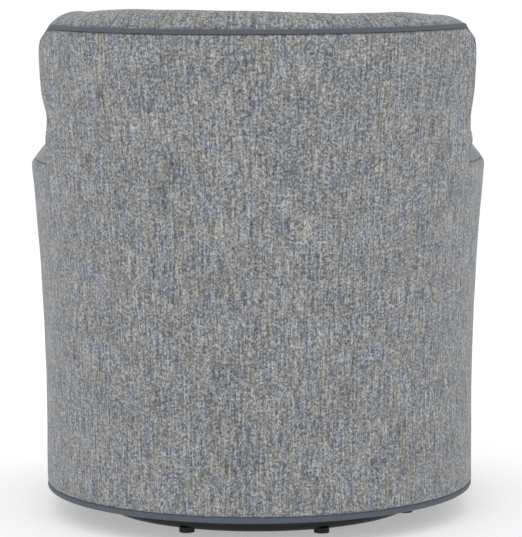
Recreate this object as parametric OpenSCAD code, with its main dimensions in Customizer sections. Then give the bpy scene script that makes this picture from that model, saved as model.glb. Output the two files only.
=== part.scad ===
// Swivel rocker of barrel form: a chair that rocks on a sprung pivot head,
// which turns on a round floor base. Lengths are in millimetres.
// The origin is on the floor under the swivel axis, +Z is up and the
// sitter faces -Y.

/* [Barrel] */
// Radius of the barrel's foot, at the back and the sides
base_radius = 368; // [340:1:400]
// Depth of the barrel's foot from the swivel axis to the front
front_depth = 395; // [370:1:420]
// How far the sides stand out at arm height
side_flare = 22; // [0:1:35]
// Height at which the flare starts
flare_start_z = 180; // [100:5:260]
// Clearance under the skirt
skirt_clearance = 40; // [36:1:60]
// Thickness of the cover with its wadding
skin_t = 8; // [5:0.5:10]
// Thickness of the fibre lining
lining_t = 2.2; // [1.5:0.1:4]
// Thickness of the staves and curved rails
stave_t = 22; // [18:1:26]

/* [Back] */
// Height of the welt along the back's top edge
back_welt_z = 842; // [780:1:900]
// Radius of the outside back's top corners
corner_r = 50; // [35:1:80]
// Thickness of the back and of the arms at their start
back_t = 104; // [95:1:115]
// How far the boxing stands up along the top
top_crown = 31; // [15:1:40]
// How far the boxing stands out along the wings
wing_crown = 18; // [8:1:26]
// How far the inside back swells
back_crown = 34; // [10:1:45]

/* [Arms] */
// Height of the arms
arm_top_z = 625; // [590:1:660]
// How far the seam of the arm's top roll lies below the arm's top
arm_seam_drop = 13; // [9:1:20]
// Radius of the arm's outer top edge
arm_outer_r = 30; // [26:1:36]
// Radius of the arm's inner top edge
arm_inner_r = 32; // [20:1:34]
// How far the arms' front ends stand back from the foot's front
arm_setback = 43; // [37:1:65]

/* [Seat] */
// Height of the deck under the cushion
deck_z = 328; // [310:1:340]
// Height of the cushion at its seams
cushion_h = 118; // [90:1:140]
// How far the cushion's top swells
cushion_crown = 24; // [10:1:35]
// How far the cushion reaches past the foot's front
cushion_overhang = 9; // [0:1:20]

/* [Welts] */
// Radius of the welts on the body and the cushion
welt_r = 4; // [3:0.5:5]
// Radius of the welt round the foot
foot_welt_r = 5.5; // [4:0.5:7]

/* [Floor base] */
// Radius of the floor ring's tube centre line
ring_r = 259.5; // [240:0.5:265]
// Diameter of the floor ring's tube
ring_tube_d = 25; // [20:1:28]
// Number of glides
glide_count = 7; // [4:1:8]
// Height of a glide below the tube
glide_drop = 6; // [4:0.5:8]
// Diameter of a glide
glide_d = 26; // [20:1:32]
// Radius of the bearing plates
plate_r = 95; // [85:1:100]
// Thickness of the bearing plates
plate_t = 4; // [3:0.5:5]
// Radius of the ring of bearing balls
ball_ring_r = 70; // [60:1:76]
// Diameter of a bearing ball
ball_d = 6; // [5:0.5:7]
// Number of bearing balls
ball_count = 24; // [12:1:30]
// Diameter of the king pin
king_pin_d = 20; // [16:1:24]

/* [Rocker head] */
// Height of the rocking axis
pivot_z = 105; // [100:1:115]
// Diameter of the pivot shaft
shaft_d = 16; // [14:1:20]
// Clearance between the spring cups and the cradle's ears
ear_clearance = 9.5; // [4:0.5:16]
// Height of the rocker plate's underside above the rocking axis
plate_rise = 47; // [41:1:55]
// Mean diameter of a rocker spring
spring_d = 46; // [38:1:52]
// Diameter of the spring wire
spring_wire_d = 5; // [4:0.5:6]
// Curls in a rocker spring
spring_curls = 5; // [4:1:6]
// Distance of the springs from the middle, to the side
spring_x = 88; // [80:1:92]
// Distance of the springs from the middle, to front and back
spring_y = 78; // [70:1:84]

/* [Hidden] */

// Seams, fits and overruns
seam_gap = 0.4;
run_fit = 0.05;
over = 1;
weld_gap = 0.1;
wood_gap = 0.2;

// Form of the barrel: powers and shares without a unit
flare_power = 1.9;
front_power = 6;
front_flare_share = 0.6;
waist_angle = 24.5;
wing_angle = 22.25;
waist_share = 0.18;
wing_z = back_welt_z - corner_r;
waist_z = arm_top_z + waist_share * (wing_z - arm_top_z);

// Counts of the shared grids
welt_sides = 6;
corner_n = 4;
flat_n = 18;
low_rows = 6;
high_rows = 5;
arm_rear_n = 3;
arm_fore_n = 7;
arm_post_n = 2;

// Depths below the outer surface, layer by layer
lining_w = skin_t + seam_gap;
stave_w = lining_w + lining_t + seam_gap;
pad_w = stave_w + stave_t + seam_gap;

// Heights
foot_welt_z = skirt_clearance + foot_welt_r;
panel_z = foot_welt_z + foot_welt_r * cos(180 / welt_sides) + seam_gap;
base_rail_rise = 11.3;
base_rail_z = panel_z + base_rail_rise;
base_rail_h = 30;
arm_seam_z = arm_top_z - arm_seam_drop;
rail_top_z = arm_top_z - arm_outer_r;
rail_h = 80;
back_rail_top_z = back_welt_z - corner_r / 2;
top_rail_share = 0.36;
top_rail_h = top_rail_share * (back_rail_top_z - rail_top_z);
pad_z = deck_z + seam_gap;
rim_edge = -(welt_r + seam_gap);

// Ends of the arms and of the cushion
arm_front_y = front_depth - arm_setback;
cushion_front_y = front_depth + cushion_overhang;

function radians(a) = a * PI / 180;
function degrees(a) = a * 180 / PI;
function mix(a, b, t) = a + (b - a) * t;
function clamp01(t) = min(1, max(0, t));
function soft(t) = let (c = clamp01(t)) c * c * (3 - 2 * c);
function join(lists) = [for (l = lists) for (p = l) p];

// Plan of the barrel at height z. The back half is an ellipse, and the
// front half has straight sides and a bowed front.
function flare_share_at(z) = max(0, z - flare_start_z) / (arm_seam_z - flare_start_z);
function half_width(z) = base_radius + side_flare * pow(min(1, flare_share_at(z)), flare_power);
function rear_depth(z) = base_radius + side_flare * pow(flare_share_at(z), flare_power);
function fore_depth(z) = front_depth + front_flare_share * (half_width(z) - base_radius);

// A point of the back half at an angle from +X, at a depth w under the surface
function rear_pt(angle, z, w) =
    let (a = half_width(z), b = rear_depth(z))
    let (r = 1 / norm([cos(angle) / a, sin(angle) / b]))
    let (p = [r * cos(angle), r * sin(angle)])
    let (g = [p.x / (a * a), p.y / (b * b)])
    let (q = p - w * g / norm(g))
    [q.x, q.y, z];

// Half the barrel's width at a distance y in front of the axis
function side_x(y, z) =
    half_width(z) * pow(1 - pow(y / fore_depth(z), front_power), 1 / front_power);
// The front's distance from the axis at x
function fore_y(x, z) =
    fore_depth(z) * pow(1 - pow(abs(x) / half_width(z), front_power), 1 / front_power);

// A point of the arm's outer surface: s runs from -1 at the back panel's
// seam over 0 beside the axis to 1 at the arm's front end
function arm_pt(s, z, w, start_angle) =
    s < 0 ? rear_pt(-s * start_angle, z, w)
    : [side_x(s * arm_front_y, z) - w, -s * arm_front_y, z];
// Thickness of the arm, whose inner face runs straight to the front
arm_taper = 6;
function arm_t(s, z) =
    s < 0 ? back_t
    : back_t + arm_taper * s * s + side_x(s * arm_front_y, z) - side_x(0, z);

// A point of the whole plan at an angle from +X
function plan_pt(angle, z, w) =
    sin(angle) >= 0 ? rear_pt(angle, z, w)
    : let (a = half_width(z), b = fore_depth(z), n = front_power)
      let (r = pow(pow(abs(cos(angle)) / a, n) + pow(abs(sin(angle)) / b, n), -1 / n))
      let (p = [r * cos(angle), r * sin(angle)])
      let (g = [sign(p.x) * pow(abs(p.x) / a, n - 1) / a, sign(p.y) * pow(abs(p.y) / b, n - 1) / b])
      let (q = p - w * g / norm(g))
      [q.x, q.y, z];

// The outside back, laid flat: arc length from the middle, and height.
// A column is [middle of its arc, angle from upright].
wing_arc = base_radius * radians(90 - wing_angle);
waist_arc = base_radius * radians(90 - waist_angle);
function edge_share(z) = mix(waist_arc / wing_arc, 1, soft((z - waist_z) / (wing_z - waist_z)));
half_columns = concat(
    [for (k = [0:corner_n]) [wing_arc - corner_r, 90 * (1 - k / corner_n)]],
    [for (k = [1:flat_n / 2]) [(wing_arc - corner_r) * (1 - 2 * k / flat_n), 0]]);
columns = concat(half_columns,
    [for (k = [len(half_columns) - 2:-1:0]) [-half_columns[k][0], -half_columns[k][1]]]);
function column_arc(c, e) = c[0] + (corner_r + e) * sin(c[1]);
function column_top(c, e) = back_welt_z - corner_r + (corner_r + e) * cos(c[1]);
function arc_pt(arc, z, w) = rear_pt(90 - degrees(arc * edge_share(z) / base_radius), z, w);

// The grid of a layer of the back: e moves its rim, w is its depth
function row_z(c, e, r, low_z) =
    r <= low_rows ? mix(low_z, arm_seam_z, r / low_rows)
    : mix(arm_seam_z, column_top(c, e), (r - low_rows) / high_rows);
function back_grid(e, w, low_z) =
    [for (c = columns) [for (r = [0:low_rows + high_rows])
        let (z = row_z(c, e, r, low_z)) arc_pt(column_arc(c, e), z, w)]];

// The rim of the back, from the foot of one wing over the top to the other:
// a point moved out by e, at depth w
rim_side_n = 5;
rim_n = 2 * rim_side_n + len(columns) - 1;
rim_lift = 2.4;
function side_rim_z(k, w) = mix(arm_surface_z(w) + rim_lift, wing_z, k / rim_side_n);
function rim_pt(k, e, w) =
    k < rim_side_n ? let (z = side_rim_z(k, w)) arc_pt(wing_arc + e, z, w)
    : k > rim_n - rim_side_n ? let (z = side_rim_z(rim_n - k, w)) arc_pt(-wing_arc - e, z, w)
    : let (c = columns[k - rim_side_n]) arc_pt(column_arc(c, e), column_top(c, e), w);
// 0 along the wings and 1 along the top
function rim_top_share(k) =
    k < rim_side_n || k > rim_n - rim_side_n ? 0 : cos(columns[k - rim_side_n][1]);

// Height of the arm's rounded top at depth w
function arm_surface_z(w) =
    w < arm_outer_r ? arm_top_z - arm_outer_r + sqrt(max(0, pow(arm_outer_r, 2) - pow(arm_outer_r - w, 2)))
    : w < back_t - arm_inner_r ? arm_top_z
    : arm_top_z - arm_inner_r + sqrt(max(0, pow(arm_inner_r, 2) - pow(w - back_t + arm_inner_r, 2)));
// How far the outer surface is drawn in above the shoulder
function shoulder(z) =
    z <= rail_top_z ? 0 : arm_outer_r - sqrt(max(0, pow(arm_outer_r, 2) - pow(z - rail_top_z, 2)));

// A closed solid between two grids of the same size, in triangles
module slab(a, b) {
    ni = len(a);
    nj = len(a[0]);
    i0 = floor((ni - 1) / 2);
    j0 = floor((nj - 1) / 2);
    turn = cross(a[i0 + 1][j0] - a[i0][j0], a[i0][j0 + 1] - a[i0][j0]) * (b[i0][j0] - a[i0][j0]) < 0;
    front = turn ? b : a;
    back = turn ? a : b;
    n = ni * nj;
    faces = concat(
        [for (i = [0:ni - 2]) for (j = [0:nj - 2]) for (f = [
            [i * nj + j, (i + 1) * nj + j, (i + 1) * nj + j + 1],
            [i * nj + j, (i + 1) * nj + j + 1, i * nj + j + 1],
            [n + i * nj + j, n + (i + 1) * nj + j + 1, n + (i + 1) * nj + j],
            [n + i * nj + j, n + i * nj + j + 1, n + (i + 1) * nj + j + 1]]) f],
        [for (i = [0:ni - 2]) for (f = [
            [(i + 1) * nj, i * nj, n + i * nj],
            [(i + 1) * nj, n + i * nj, n + (i + 1) * nj],
            [i * nj + nj - 1, (i + 1) * nj + nj - 1, n + (i + 1) * nj + nj - 1],
            [i * nj + nj - 1, n + (i + 1) * nj + nj - 1, n + i * nj + nj - 1]]) f],
        [for (j = [0:nj - 2]) for (f = [
            [j, j + 1, n + j + 1],
            [j, n + j + 1, n + j],
            [(ni - 1) * nj + j + 1, (ni - 1) * nj + j, n + (ni - 1) * nj + j],
            [(ni - 1) * nj + j + 1, n + (ni - 1) * nj + j, n + (ni - 1) * nj + j + 1]]) f]);
    polyhedron(points = concat(join(front), join(back)), faces = faces, convexity = 10);
}

// A tube through rings of points, closed on itself or capped
module ringed(rings, closed) {
    m = len(rings[0]);
    c = rings[0][0] / 2 + rings[0][floor(m / 2)] / 2;
    turn = cross(rings[1][0] - rings[0][0], rings[0][1] - rings[0][0]) * (c - rings[0][0]) < 0;
    r = turn ? [for (ring = rings) [for (k = [m - 1:-1:0]) ring[k]]] : rings;
    n = len(r);
    last = closed ? n - 1 : n - 2;
    faces = concat(
        [for (k = [0:last]) for (j = [0:m - 1])
            let (a = k * m + j, b = k * m + (j + 1) % m)
            let (d = ((k + 1) % n) * m + j, e = ((k + 1) % n) * m + (j + 1) % m)
            for (f = [[a, d, e], [a, e, b]]) f],
        closed ? [] : [for (j = [1:m - 2]) for (f = [
            [0, j, j + 1],
            [(n - 1) * m, (n - 1) * m + j + 1, (n - 1) * m + j]]) f]);
    polyhedron(points = join(r), faces = faces, convexity = 10);
}

// Rings of a round tube along a path, square to it. up is never along it.
function tube_rings(path, r, sides, up) =
    let (n = len(path))
    [for (k = [0:n - 1])
        let (t = path[min(n - 1, k + 1)] - path[max(0, k - 1)])
        let (u = cross(up, t) / norm(cross(up, t)), v = cross(t, u) / norm(cross(t, u)))
        [for (j = [0:sides - 1]) path[k] + r * (cos(360 * j / sides) * u + sin(360 * j / sides) * v)]];

module mirrored(left) {
    if (left) mirror([1, 0, 0]) children();
    else children();
}
module four_ways(x, y) {
    for (i = [-1, 1]) for (j = [-1, 1]) translate([i * x, j * y, 0]) children();
}

// Floor base
ring_z = glide_drop + ring_tube_d / 2;
glide_turn = 2.25;
arm_tube_w = 28;
arm_tube_h = 19;
arm_bar_z = ring_z - arm_tube_h / 2;
glide_top_z = arm_bar_z - wood_gap;
lower_plate_z = arm_bar_z + arm_tube_h;
// Balls stand this far out of the lower plate's groove
ball_rise = 2.4;
ball_z = lower_plate_z + plate_t + ball_rise;
upper_plate_z = ball_z + ball_rise;
cradle_z = upper_plate_z + plate_t;
hub_r = 34;
cage_t = 1.2;
cage_w = 14;
pin_head_h = 5;
pin_head_d = 34;
pin_nut_h = 9;
pin_washer_t = 2;
cradle_t = 5;

module ring_tube(extra) {
    rotate_extrude($fn = 96) translate([ring_r, ring_z]) circle(d = ring_tube_d + 2 * extra, $fn = 32);
}
module floor_ring() {
    color("#16171a") ring_tube(0);
}
module floor_glides() {
    color("#0c0c0d") difference() {
        for (k = [0:glide_count - 1])
            rotate(90 - glide_turn + 360 * (k + 0.5) / glide_count)
                translate([ring_r, 0, 0]) cylinder(d = glide_d, h = glide_top_z, $fn = 32);
        ring_tube(weld_gap);
    }
}
module base_arms() {
    color("#1a1b1e") difference() {
        union() {
            for (a = [45, 135])
                rotate(a) translate([-ring_r, -arm_tube_w / 2, arm_bar_z])
                    cube([2 * ring_r, arm_tube_w, arm_tube_h]);
            translate([0, 0, arm_bar_z]) cylinder(r = hub_r, h = arm_tube_h, $fn = 48);
        }
        ring_tube(weld_gap);
        translate([0, 0, arm_bar_z - over])
            cylinder(d = king_pin_d + 2 * run_fit, h = arm_tube_h + 2 * over, $fn = 48);
        translate([0, 0, arm_bar_z - over])
            cylinder(d = pin_head_d + 2 * run_fit, h = pin_head_h + over, $fn = 48);
    }
}
module race_cut() {
    rotate_extrude($fn = 72) translate([ball_ring_r, ball_z]) circle(d = ball_d + 2 * run_fit, $fn = 24);
}
module lower_bearing_plate() {
    color("#26282c") difference() {
        translate([0, 0, lower_plate_z]) cylinder(r = plate_r, h = plate_t, $fn = 72);
        translate([0, 0, lower_plate_z - over])
            cylinder(d = king_pin_d + 2 * run_fit, h = plate_t + 2 * over, $fn = 48);
        race_cut();
    }
}
pin_seat_z = cradle_z + cradle_t;
module king_pin() {
    color("#8b8f94") union() {
        translate([0, 0, arm_bar_z]) cylinder(d = pin_head_d, h = pin_head_h, $fn = 48);
        translate([0, 0, arm_bar_z])
            cylinder(d = king_pin_d, h = pin_seat_z + pin_washer_t + pin_nut_h - arm_bar_z, $fn = 48);
        translate([0, 0, pin_seat_z + wood_gap])
            cylinder(d = pin_head_d, h = pin_washer_t, $fn = 48);
        translate([0, 0, pin_seat_z + wood_gap + pin_washer_t])
            cylinder(d = pin_head_d - pin_washer_t, h = pin_nut_h - over, $fn = 6);
    }
}
module ball_cage() {
    color("#b9a66b") difference() {
        translate([0, 0, ball_z - cage_t / 2]) cylinder(r = ball_ring_r + cage_w / 2, h = cage_t, $fn = 72);
        translate([0, 0, ball_z - over]) cylinder(r = ball_ring_r - cage_w / 2, h = 2 * over, $fn = 72);
        for (k = [0:ball_count - 1])
            rotate(360 * k / ball_count) translate([ball_ring_r, 0, ball_z - over])
                cylinder(d = ball_d + 2 * run_fit, h = 2 * over, $fn = 24);
    }
}
module bearing_balls() {
    color("#c9ccd0")
        for (k = [0:ball_count - 1])
            rotate(360 * k / ball_count) translate([ball_ring_r, 0, ball_z]) sphere(d = ball_d, $fn = 24);
}

// Swivel head
rocker_plate_z = pivot_z + plate_rise;
ear_t = 6;
ear_w = 70;
bush_t = 3;
bush_flange = 3;
cup_t = 2;
cup_h = 12;
cup_gap = 1;
stop_d = 24;
stop_bevel = 4;
stop_gap = 8;
ear_wall = 10;
ear_top_r = shaft_d / 2 + bush_t + ear_wall;
cup_r = spring_d / 2 + spring_wire_d / 2 + cup_gap + cup_t;
ear_x = spring_x + cup_r + ear_clearance + ear_t;
cradle_w = 2 * ear_x;
cradle_d = 2 * (spring_y + cup_r + cup_t);

module upper_bearing_plate() {
    color("#26282c") difference() {
        translate([0, 0, upper_plate_z]) cylinder(r = plate_r, h = plate_t, $fn = 72);
        translate([0, 0, upper_plate_z - over])
            cylinder(d = king_pin_d + 2 * run_fit, h = plate_t + 2 * over, $fn = 48);
        race_cut();
    }
}
module ear(t) {
    rotate([90, 0, 90]) linear_extrude(t) hull() {
        translate([-ear_w / 2, 0]) square([ear_w, cradle_t]);
        translate([0, pivot_z - cradle_z]) circle(r = ear_top_r, $fn = 32);
    }
}
module rocker_cradle() {
    color("#202226") difference() {
        union() {
            translate([-cradle_w / 2, -cradle_d / 2, cradle_z]) cube([cradle_w, cradle_d, cradle_t]);
            for (x = [-ear_x, ear_x - ear_t]) translate([x, 0, cradle_z]) ear(ear_t);
        }
        translate([0, 0, cradle_z - over])
            cylinder(d = king_pin_d + 2 * run_fit, h = cradle_t + 2 * over, $fn = 48);
        translate([-ear_x - over, 0, pivot_z]) rotate([0, 90, 0])
            cylinder(d = shaft_d + 2 * bush_t, h = 2 * (ear_x + over), $fn = 48);
    }
}
module pivot_bushes() {
    color("#d8d6cf")
        for (k = [0, 1]) mirror([k, 0, 0]) difference() {
            union() {
                translate([ear_x - ear_t, 0, pivot_z]) rotate([0, 90, 0])
                    cylinder(d = shaft_d + 2 * bush_t - 2 * run_fit, h = ear_t, $fn = 48);
                translate([ear_x, 0, pivot_z]) rotate([0, 90, 0])
                    cylinder(d = shaft_d + 2 * (bush_t + bush_flange), h = bush_flange, $fn = 48);
            }
            translate([0, 0, pivot_z]) rotate([0, 90, 0])
                cylinder(d = shaft_d + 2 * run_fit, h = ear_x + bush_flange + over, $fn = 48);
        }
}
module cup() {
    difference() {
        cylinder(r = cup_r, h = cup_h, $fn = 32);
        translate([0, 0, cup_t]) cylinder(r = cup_r - cup_t, h = cup_h, $fn = 32);
    }
}
lower_cup_z = cradle_z + cradle_t;
module lower_spring_cups() {
    color("#2b2d31") four_ways(spring_x, spring_y) translate([0, 0, lower_cup_z]) cup();
}
stop_h = rocker_plate_z - stop_gap - lower_cup_z;
module bump_stops() {
    color("#0f0f10")
        for (j = [-1, 1]) translate([0, j * spring_y, lower_cup_z]) union() {
            cylinder(d = stop_d, h = stop_h - stop_bevel, $fn = 32);
            translate([0, 0, stop_h - stop_bevel])
                cylinder(d1 = stop_d, d2 = stop_d - 2 * stop_bevel, h = stop_bevel, $fn = 32);
        }
}

// Rocking plate and springs
hanger_gap = 1;
hanger_x = ear_x + bush_flange + hanger_gap;
hanger_t = 6;
hanger_w = 60;
rocker_plate_t = 5;
rocker_plate_w = 2 * (hanger_x + hanger_t);
rocker_plate_d = cradle_d;
collar_t = 6;
collar_d = 26;
module pivot_shaft() {
    color("#a9adb2") translate([-hanger_x - hanger_t - collar_t - over, 0, pivot_z]) rotate([0, 90, 0])
        cylinder(d = shaft_d, h = 2 * (hanger_x + hanger_t + collar_t + over), $fn = 48);
}
module shaft_collars() {
    color("#5b5f66")
        for (k = [0, 1]) mirror([k, 0, 0]) difference() {
            translate([hanger_x + hanger_t + wood_gap, 0, pivot_z]) rotate([0, 90, 0])
                cylinder(d = collar_d, h = collar_t, $fn = 32);
            translate([hanger_x, 0, pivot_z]) rotate([0, 90, 0])
                cylinder(d = shaft_d + 2 * run_fit, h = hanger_t + 2 * collar_t, $fn = 48);
        }
}
module hanger() {
    rotate([90, 0, 90]) linear_extrude(hanger_t) hull() {
        translate([-hanger_w / 2, rocker_plate_z - pivot_z]) square([hanger_w, rocker_plate_t]);
        circle(r = ear_top_r, $fn = 32);
    }
}
bolt_in_x = 14;
bolt_in_y = 32;
bolt_x = ear_x - bolt_in_x;
bolt_y = spring_y - bolt_in_y;
bolt_d = 8;
bolt_head_d = 15;
bolt_head_h = 5;
bolt_grip = 30;
module rocker_plate() {
    color("#202226") difference() {
        union() {
            translate([-rocker_plate_w / 2, -rocker_plate_d / 2, rocker_plate_z])
                cube([rocker_plate_w, rocker_plate_d, rocker_plate_t]);
            for (x = [-hanger_x - hanger_t, hanger_x]) translate([x, 0, pivot_z]) hanger();
        }
        translate([-rocker_plate_w, 0, pivot_z]) rotate([0, 90, 0])
            cylinder(d = shaft_d + 2 * run_fit, h = 2 * rocker_plate_w, $fn = 48);
        four_ways(bolt_x, bolt_y) translate([0, 0, rocker_plate_z - over])
            cylinder(d = bolt_d + 2 * weld_gap, h = rocker_plate_t + 2 * over, $fn = 24);
    }
}
module upper_spring_cups() {
    color("#2b2d31") four_ways(spring_x, spring_y)
        translate([0, 0, rocker_plate_z]) mirror([0, 0, 1]) cup();
}
spring_seat_gap = 0.3;
spring_z0 = lower_cup_z + cup_t + spring_seat_gap;
spring_z1 = rocker_plate_z - cup_t - spring_seat_gap;
rings_a_curl = 8;
coil_sides = 6;
function coil_path(r, z0, z1, lead, curls) = concat(
    [[r, 0, z0]],
    [for (k = [0:curls * rings_a_curl])
        let (a = 360 * k / rings_a_curl, t = k / (curls * rings_a_curl))
        [r * cos(a), r * sin(a), mix(z0 + lead, z1 - lead, t)]],
    [[r, 0, z1]]);
rocker_coil = coil_path(spring_d / 2, spring_z0, spring_z1, spring_wire_d, spring_curls);
// The least gap between two turns, measured on the coil's points
coil_gap = min([for (i = [0:len(rocker_coil) - 1]) for (j = [i + rings_a_curl / 2 + 1:1:len(rocker_coil) - 1])
    norm(rocker_coil[i] - rocker_coil[j])]) - spring_wire_d;
module coil_spring(x, y) {
    echo(rocker_spring_least_self_gap = coil_gap);
    color("#3a3d42") translate([x, y, 0])
        ringed(coil_rings(rocker_coil, spring_wire_d / 2, coil_sides), false);
}
// Rings square to a coil's path, measured from the coil's axis
function coil_rings(path, r, sides) =
    let (n = len(path))
    [for (k = [0:n - 1])
        let (t0 = path[min(n - 1, k + 1)] - path[max(0, k - 1)], t = t0 / norm(t0))
        let (o = [path[k].x, path[k].y, 0], o1 = o - (o * t) * t)
        let (u = o1 / norm(o1), v = cross(t, u))
        [for (j = [0:sides - 1]) path[k] + r * (cos(360 * j / sides) * u + sin(360 * j / sides) * v)]];
module spring_front_left() {
    coil_spring(-spring_x, -spring_y);
}
module spring_front_right() {
    coil_spring(spring_x, -spring_y);
}
module spring_rear_left() {
    coil_spring(-spring_x, spring_y);
}
module spring_rear_right() {
    coil_spring(spring_x, spring_y);
}

// Wooden seat frame
cross_z = rocker_plate_z + rocker_plate_t + wood_gap;
cross_h = 36;
cross_w = 44;
seat_rail_t = 28;
seat_rail_z = cross_z + cross_h + wood_gap;
frame_side_in = 134;
frame_rear_in = 196;
post_depth = 32;
frame_x = base_radius - frame_side_in;
frame_rear_y = base_radius - frame_rear_in;
frame_front_y = arm_front_y - post_depth - seat_rail_t;
// Deck pad, seat springs and frame ring, from the top down to the rails
deck_pad_t = 23.8;
deck_pad_z = deck_z - deck_pad_t;
wire_r = 2;
snake_arch = 8;
snake_z = deck_pad_z - seam_gap - snake_arch - wire_r;
seat_ring_t = 12;
seat_ring_z = snake_z - wire_r - wood_gap - seat_ring_t;
seat_rail_h = seat_ring_z - wood_gap - seat_rail_z;
bolt_hole = bolt_d + 2 * weld_gap;
module cross_rails() {
    color("#c8a878") difference() {
        for (k = [-1, 1]) translate([k * bolt_x - cross_w / 2, -frame_front_y - seat_rail_t, cross_z])
            cube([cross_w, frame_front_y + frame_rear_y + 2 * seat_rail_t, cross_h]);
        four_ways(bolt_x, bolt_y) translate([0, 0, cross_z - over])
            cylinder(d = bolt_hole, h = cross_h + 2 * over, $fn = 24);
    }
}
module rocker_plate_bolts() {
    color("#8d9095") four_ways(bolt_x, bolt_y) {
        translate([0, 0, rocker_plate_z - bolt_head_h - wood_gap])
            cylinder(d = bolt_head_d, h = bolt_head_h, $fn = 6);
        translate([0, 0, rocker_plate_z - bolt_head_h]) cylinder(d = bolt_d, h = bolt_grip + bolt_head_h, $fn = 24);
    }
}
module front_seat_rail() {
    color("#c8a878") translate([-frame_x - seat_rail_t, -frame_front_y - seat_rail_t, seat_rail_z])
        cube([2 * (frame_x + seat_rail_t), seat_rail_t, seat_rail_h]);
}
module rear_seat_rail() {
    color("#c8a878") translate([-frame_x - seat_rail_t, frame_rear_y, seat_rail_z])
        cube([2 * (frame_x + seat_rail_t), seat_rail_t, seat_rail_h]);
}
module side_seat_rails() {
    color("#c8a878") for (k = [0, 1]) mirror([k, 0, 0])
        translate([frame_x, -frame_front_y + wood_gap, seat_rail_z])
            cube([seat_rail_t, frame_front_y + frame_rear_y - 2 * wood_gap, seat_rail_h]);
}
block_w = 60;
block_share = 0.65;
module corner_block() {
    linear_extrude(block_share * seat_rail_h) polygon([[0, 0], [block_w, 0], [0, block_w]]);
}
module corner_blocks() {
    color("#d3b88c") for (k = [0, 1]) mirror([k, 0, 0]) {
        translate([frame_x - wood_gap, frame_rear_y - wood_gap, seat_rail_z]) rotate(180) corner_block();
        translate([frame_x - wood_gap, -frame_front_y + wood_gap, seat_rail_z]) rotate(90) corner_block();
    }
}
seat_ring_w = 58;
ring_steps = 72;
// The plan at height z and depth w, cut off behind the front posts
function inner_plan(z, w, front) =
    [for (k = [0:ring_steps - 1]) let (p = plan_pt(360 * k / ring_steps, z, w)) [p.x, max(p.y, -front)]];
frame_front = frame_front_y + seat_rail_t;
module seat_frame_ring() {
    color("#d3b88c") translate([0, 0, seat_ring_z]) linear_extrude(seat_ring_t) difference() {
        polygon(inner_plan(seat_ring_z, pad_w, frame_front));
        translate([-frame_x, -frame_front_y + seat_ring_w / 2])
            square([2 * frame_x, frame_front_y + frame_rear_y - seat_ring_w / 2]);
    }
}

// Curved rails and staves share the columns of the back and the arms
function back_band(e, w, z0, z1) =
    [for (c = columns) [for (z = [z0, z1]) arc_pt(column_arc(c, e), z, w)]];
module back_rail(e, z0, z1) {
    color("#c8a878") slab(back_band(e, stave_w, z0, z1), back_band(e, stave_w + stave_t, z0, z1));
}
arm_seam_angle = waist_angle + degrees(welt_r / base_radius);
// Stations crowd towards the front, where the side curves in, and one of
// them stands at the front post's rear face
station_power = 1.4;
post_share = frame_front / arm_front_y;
rail_last = (frame_front - wood_gap) / arm_front_y;
fore_stations = concat(
    [for (k = [0:arm_fore_n]) post_share * (1 - pow(1 - k / arm_fore_n, station_power))],
    [for (k = [1:arm_post_n]) mix(post_share, 1, k / arm_post_n)]);
arm_stations = concat([for (k = [0:arm_rear_n - 1]) -1 + k / arm_rear_n], fore_stations);
least_step = 0.01;
rail_stations = concat([for (s = arm_stations) if (s < rail_last - least_step) s], [rail_last]);
function arm_band(stations, w, rows) =
    [for (s = stations) [for (z = rows) arm_pt(s, z, w, arm_seam_angle)]];
module arm_rail(left, z0, z1) {
    color("#c8a878") mirrored(left) slab(
        arm_band(rail_stations, stave_w, [z0, z1]),
        arm_band(rail_stations, stave_w + stave_t, [z0, z1]));
}
rail_edge = rim_edge - welt_r;
base_rail_top = base_rail_z + base_rail_h;
module rear_base_rail() {
    back_rail(rail_edge, base_rail_z, base_rail_top);
}
module left_base_rail() {
    arm_rail(true, base_rail_z, base_rail_top);
}
module right_base_rail() {
    arm_rail(false, base_rail_z, base_rail_top);
}
module back_middle_rail() {
    back_rail(rail_edge, rail_top_z - rail_h, rail_top_z);
}
module back_top_rail() {
    back_rail(rail_edge - corner_r / 2, back_rail_top_z - top_rail_h, back_rail_top_z);
}
module left_arm_rail() {
    arm_rail(true, rail_top_z - rail_h, rail_top_z);
}
module right_arm_rail() {
    arm_rail(false, rail_top_z - rail_h, rail_top_z);
}

// Inner face of the arms, and the front between them
function arm_in_x(y, z) = side_x(0, z) - back_t - arm_taper * pow(y / arm_front_y, 2);
apron_n = 12;
apron_proud = 4;
front_rail_h = 70;
function fore_band(out, rows) =
    [for (k = [0:apron_n]) [for (z = rows)
        let (x = (arm_in_x(arm_front_y, z) - seam_gap) * (1 - 2 * k / apron_n))
        [x, -fore_y(x, z) - out, z]]];
function fore_plane(y, rows) =
    [for (k = [0:apron_n]) [for (z = rows)
        [(arm_in_x(arm_front_y, z) - seam_gap) * (1 - 2 * k / apron_n), -y, z]]];
module front_rail(z0, z1) {
    color("#c8a878") slab(fore_band(-stave_w, [z0, z1]), fore_plane(arm_front_y + wood_gap, [z0, z1]));
}
module front_base_rail() {
    front_rail(base_rail_z, base_rail_top);
}
module front_top_rail() {
    front_rail(deck_z - front_rail_h, deck_z);
}
post_lap = 30;
post_rows = 4;
post_ys = concat([frame_front + wood_gap],
    [for (k = [1:arm_post_n]) mix(frame_front, arm_front_y, k / arm_post_n)]);
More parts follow.
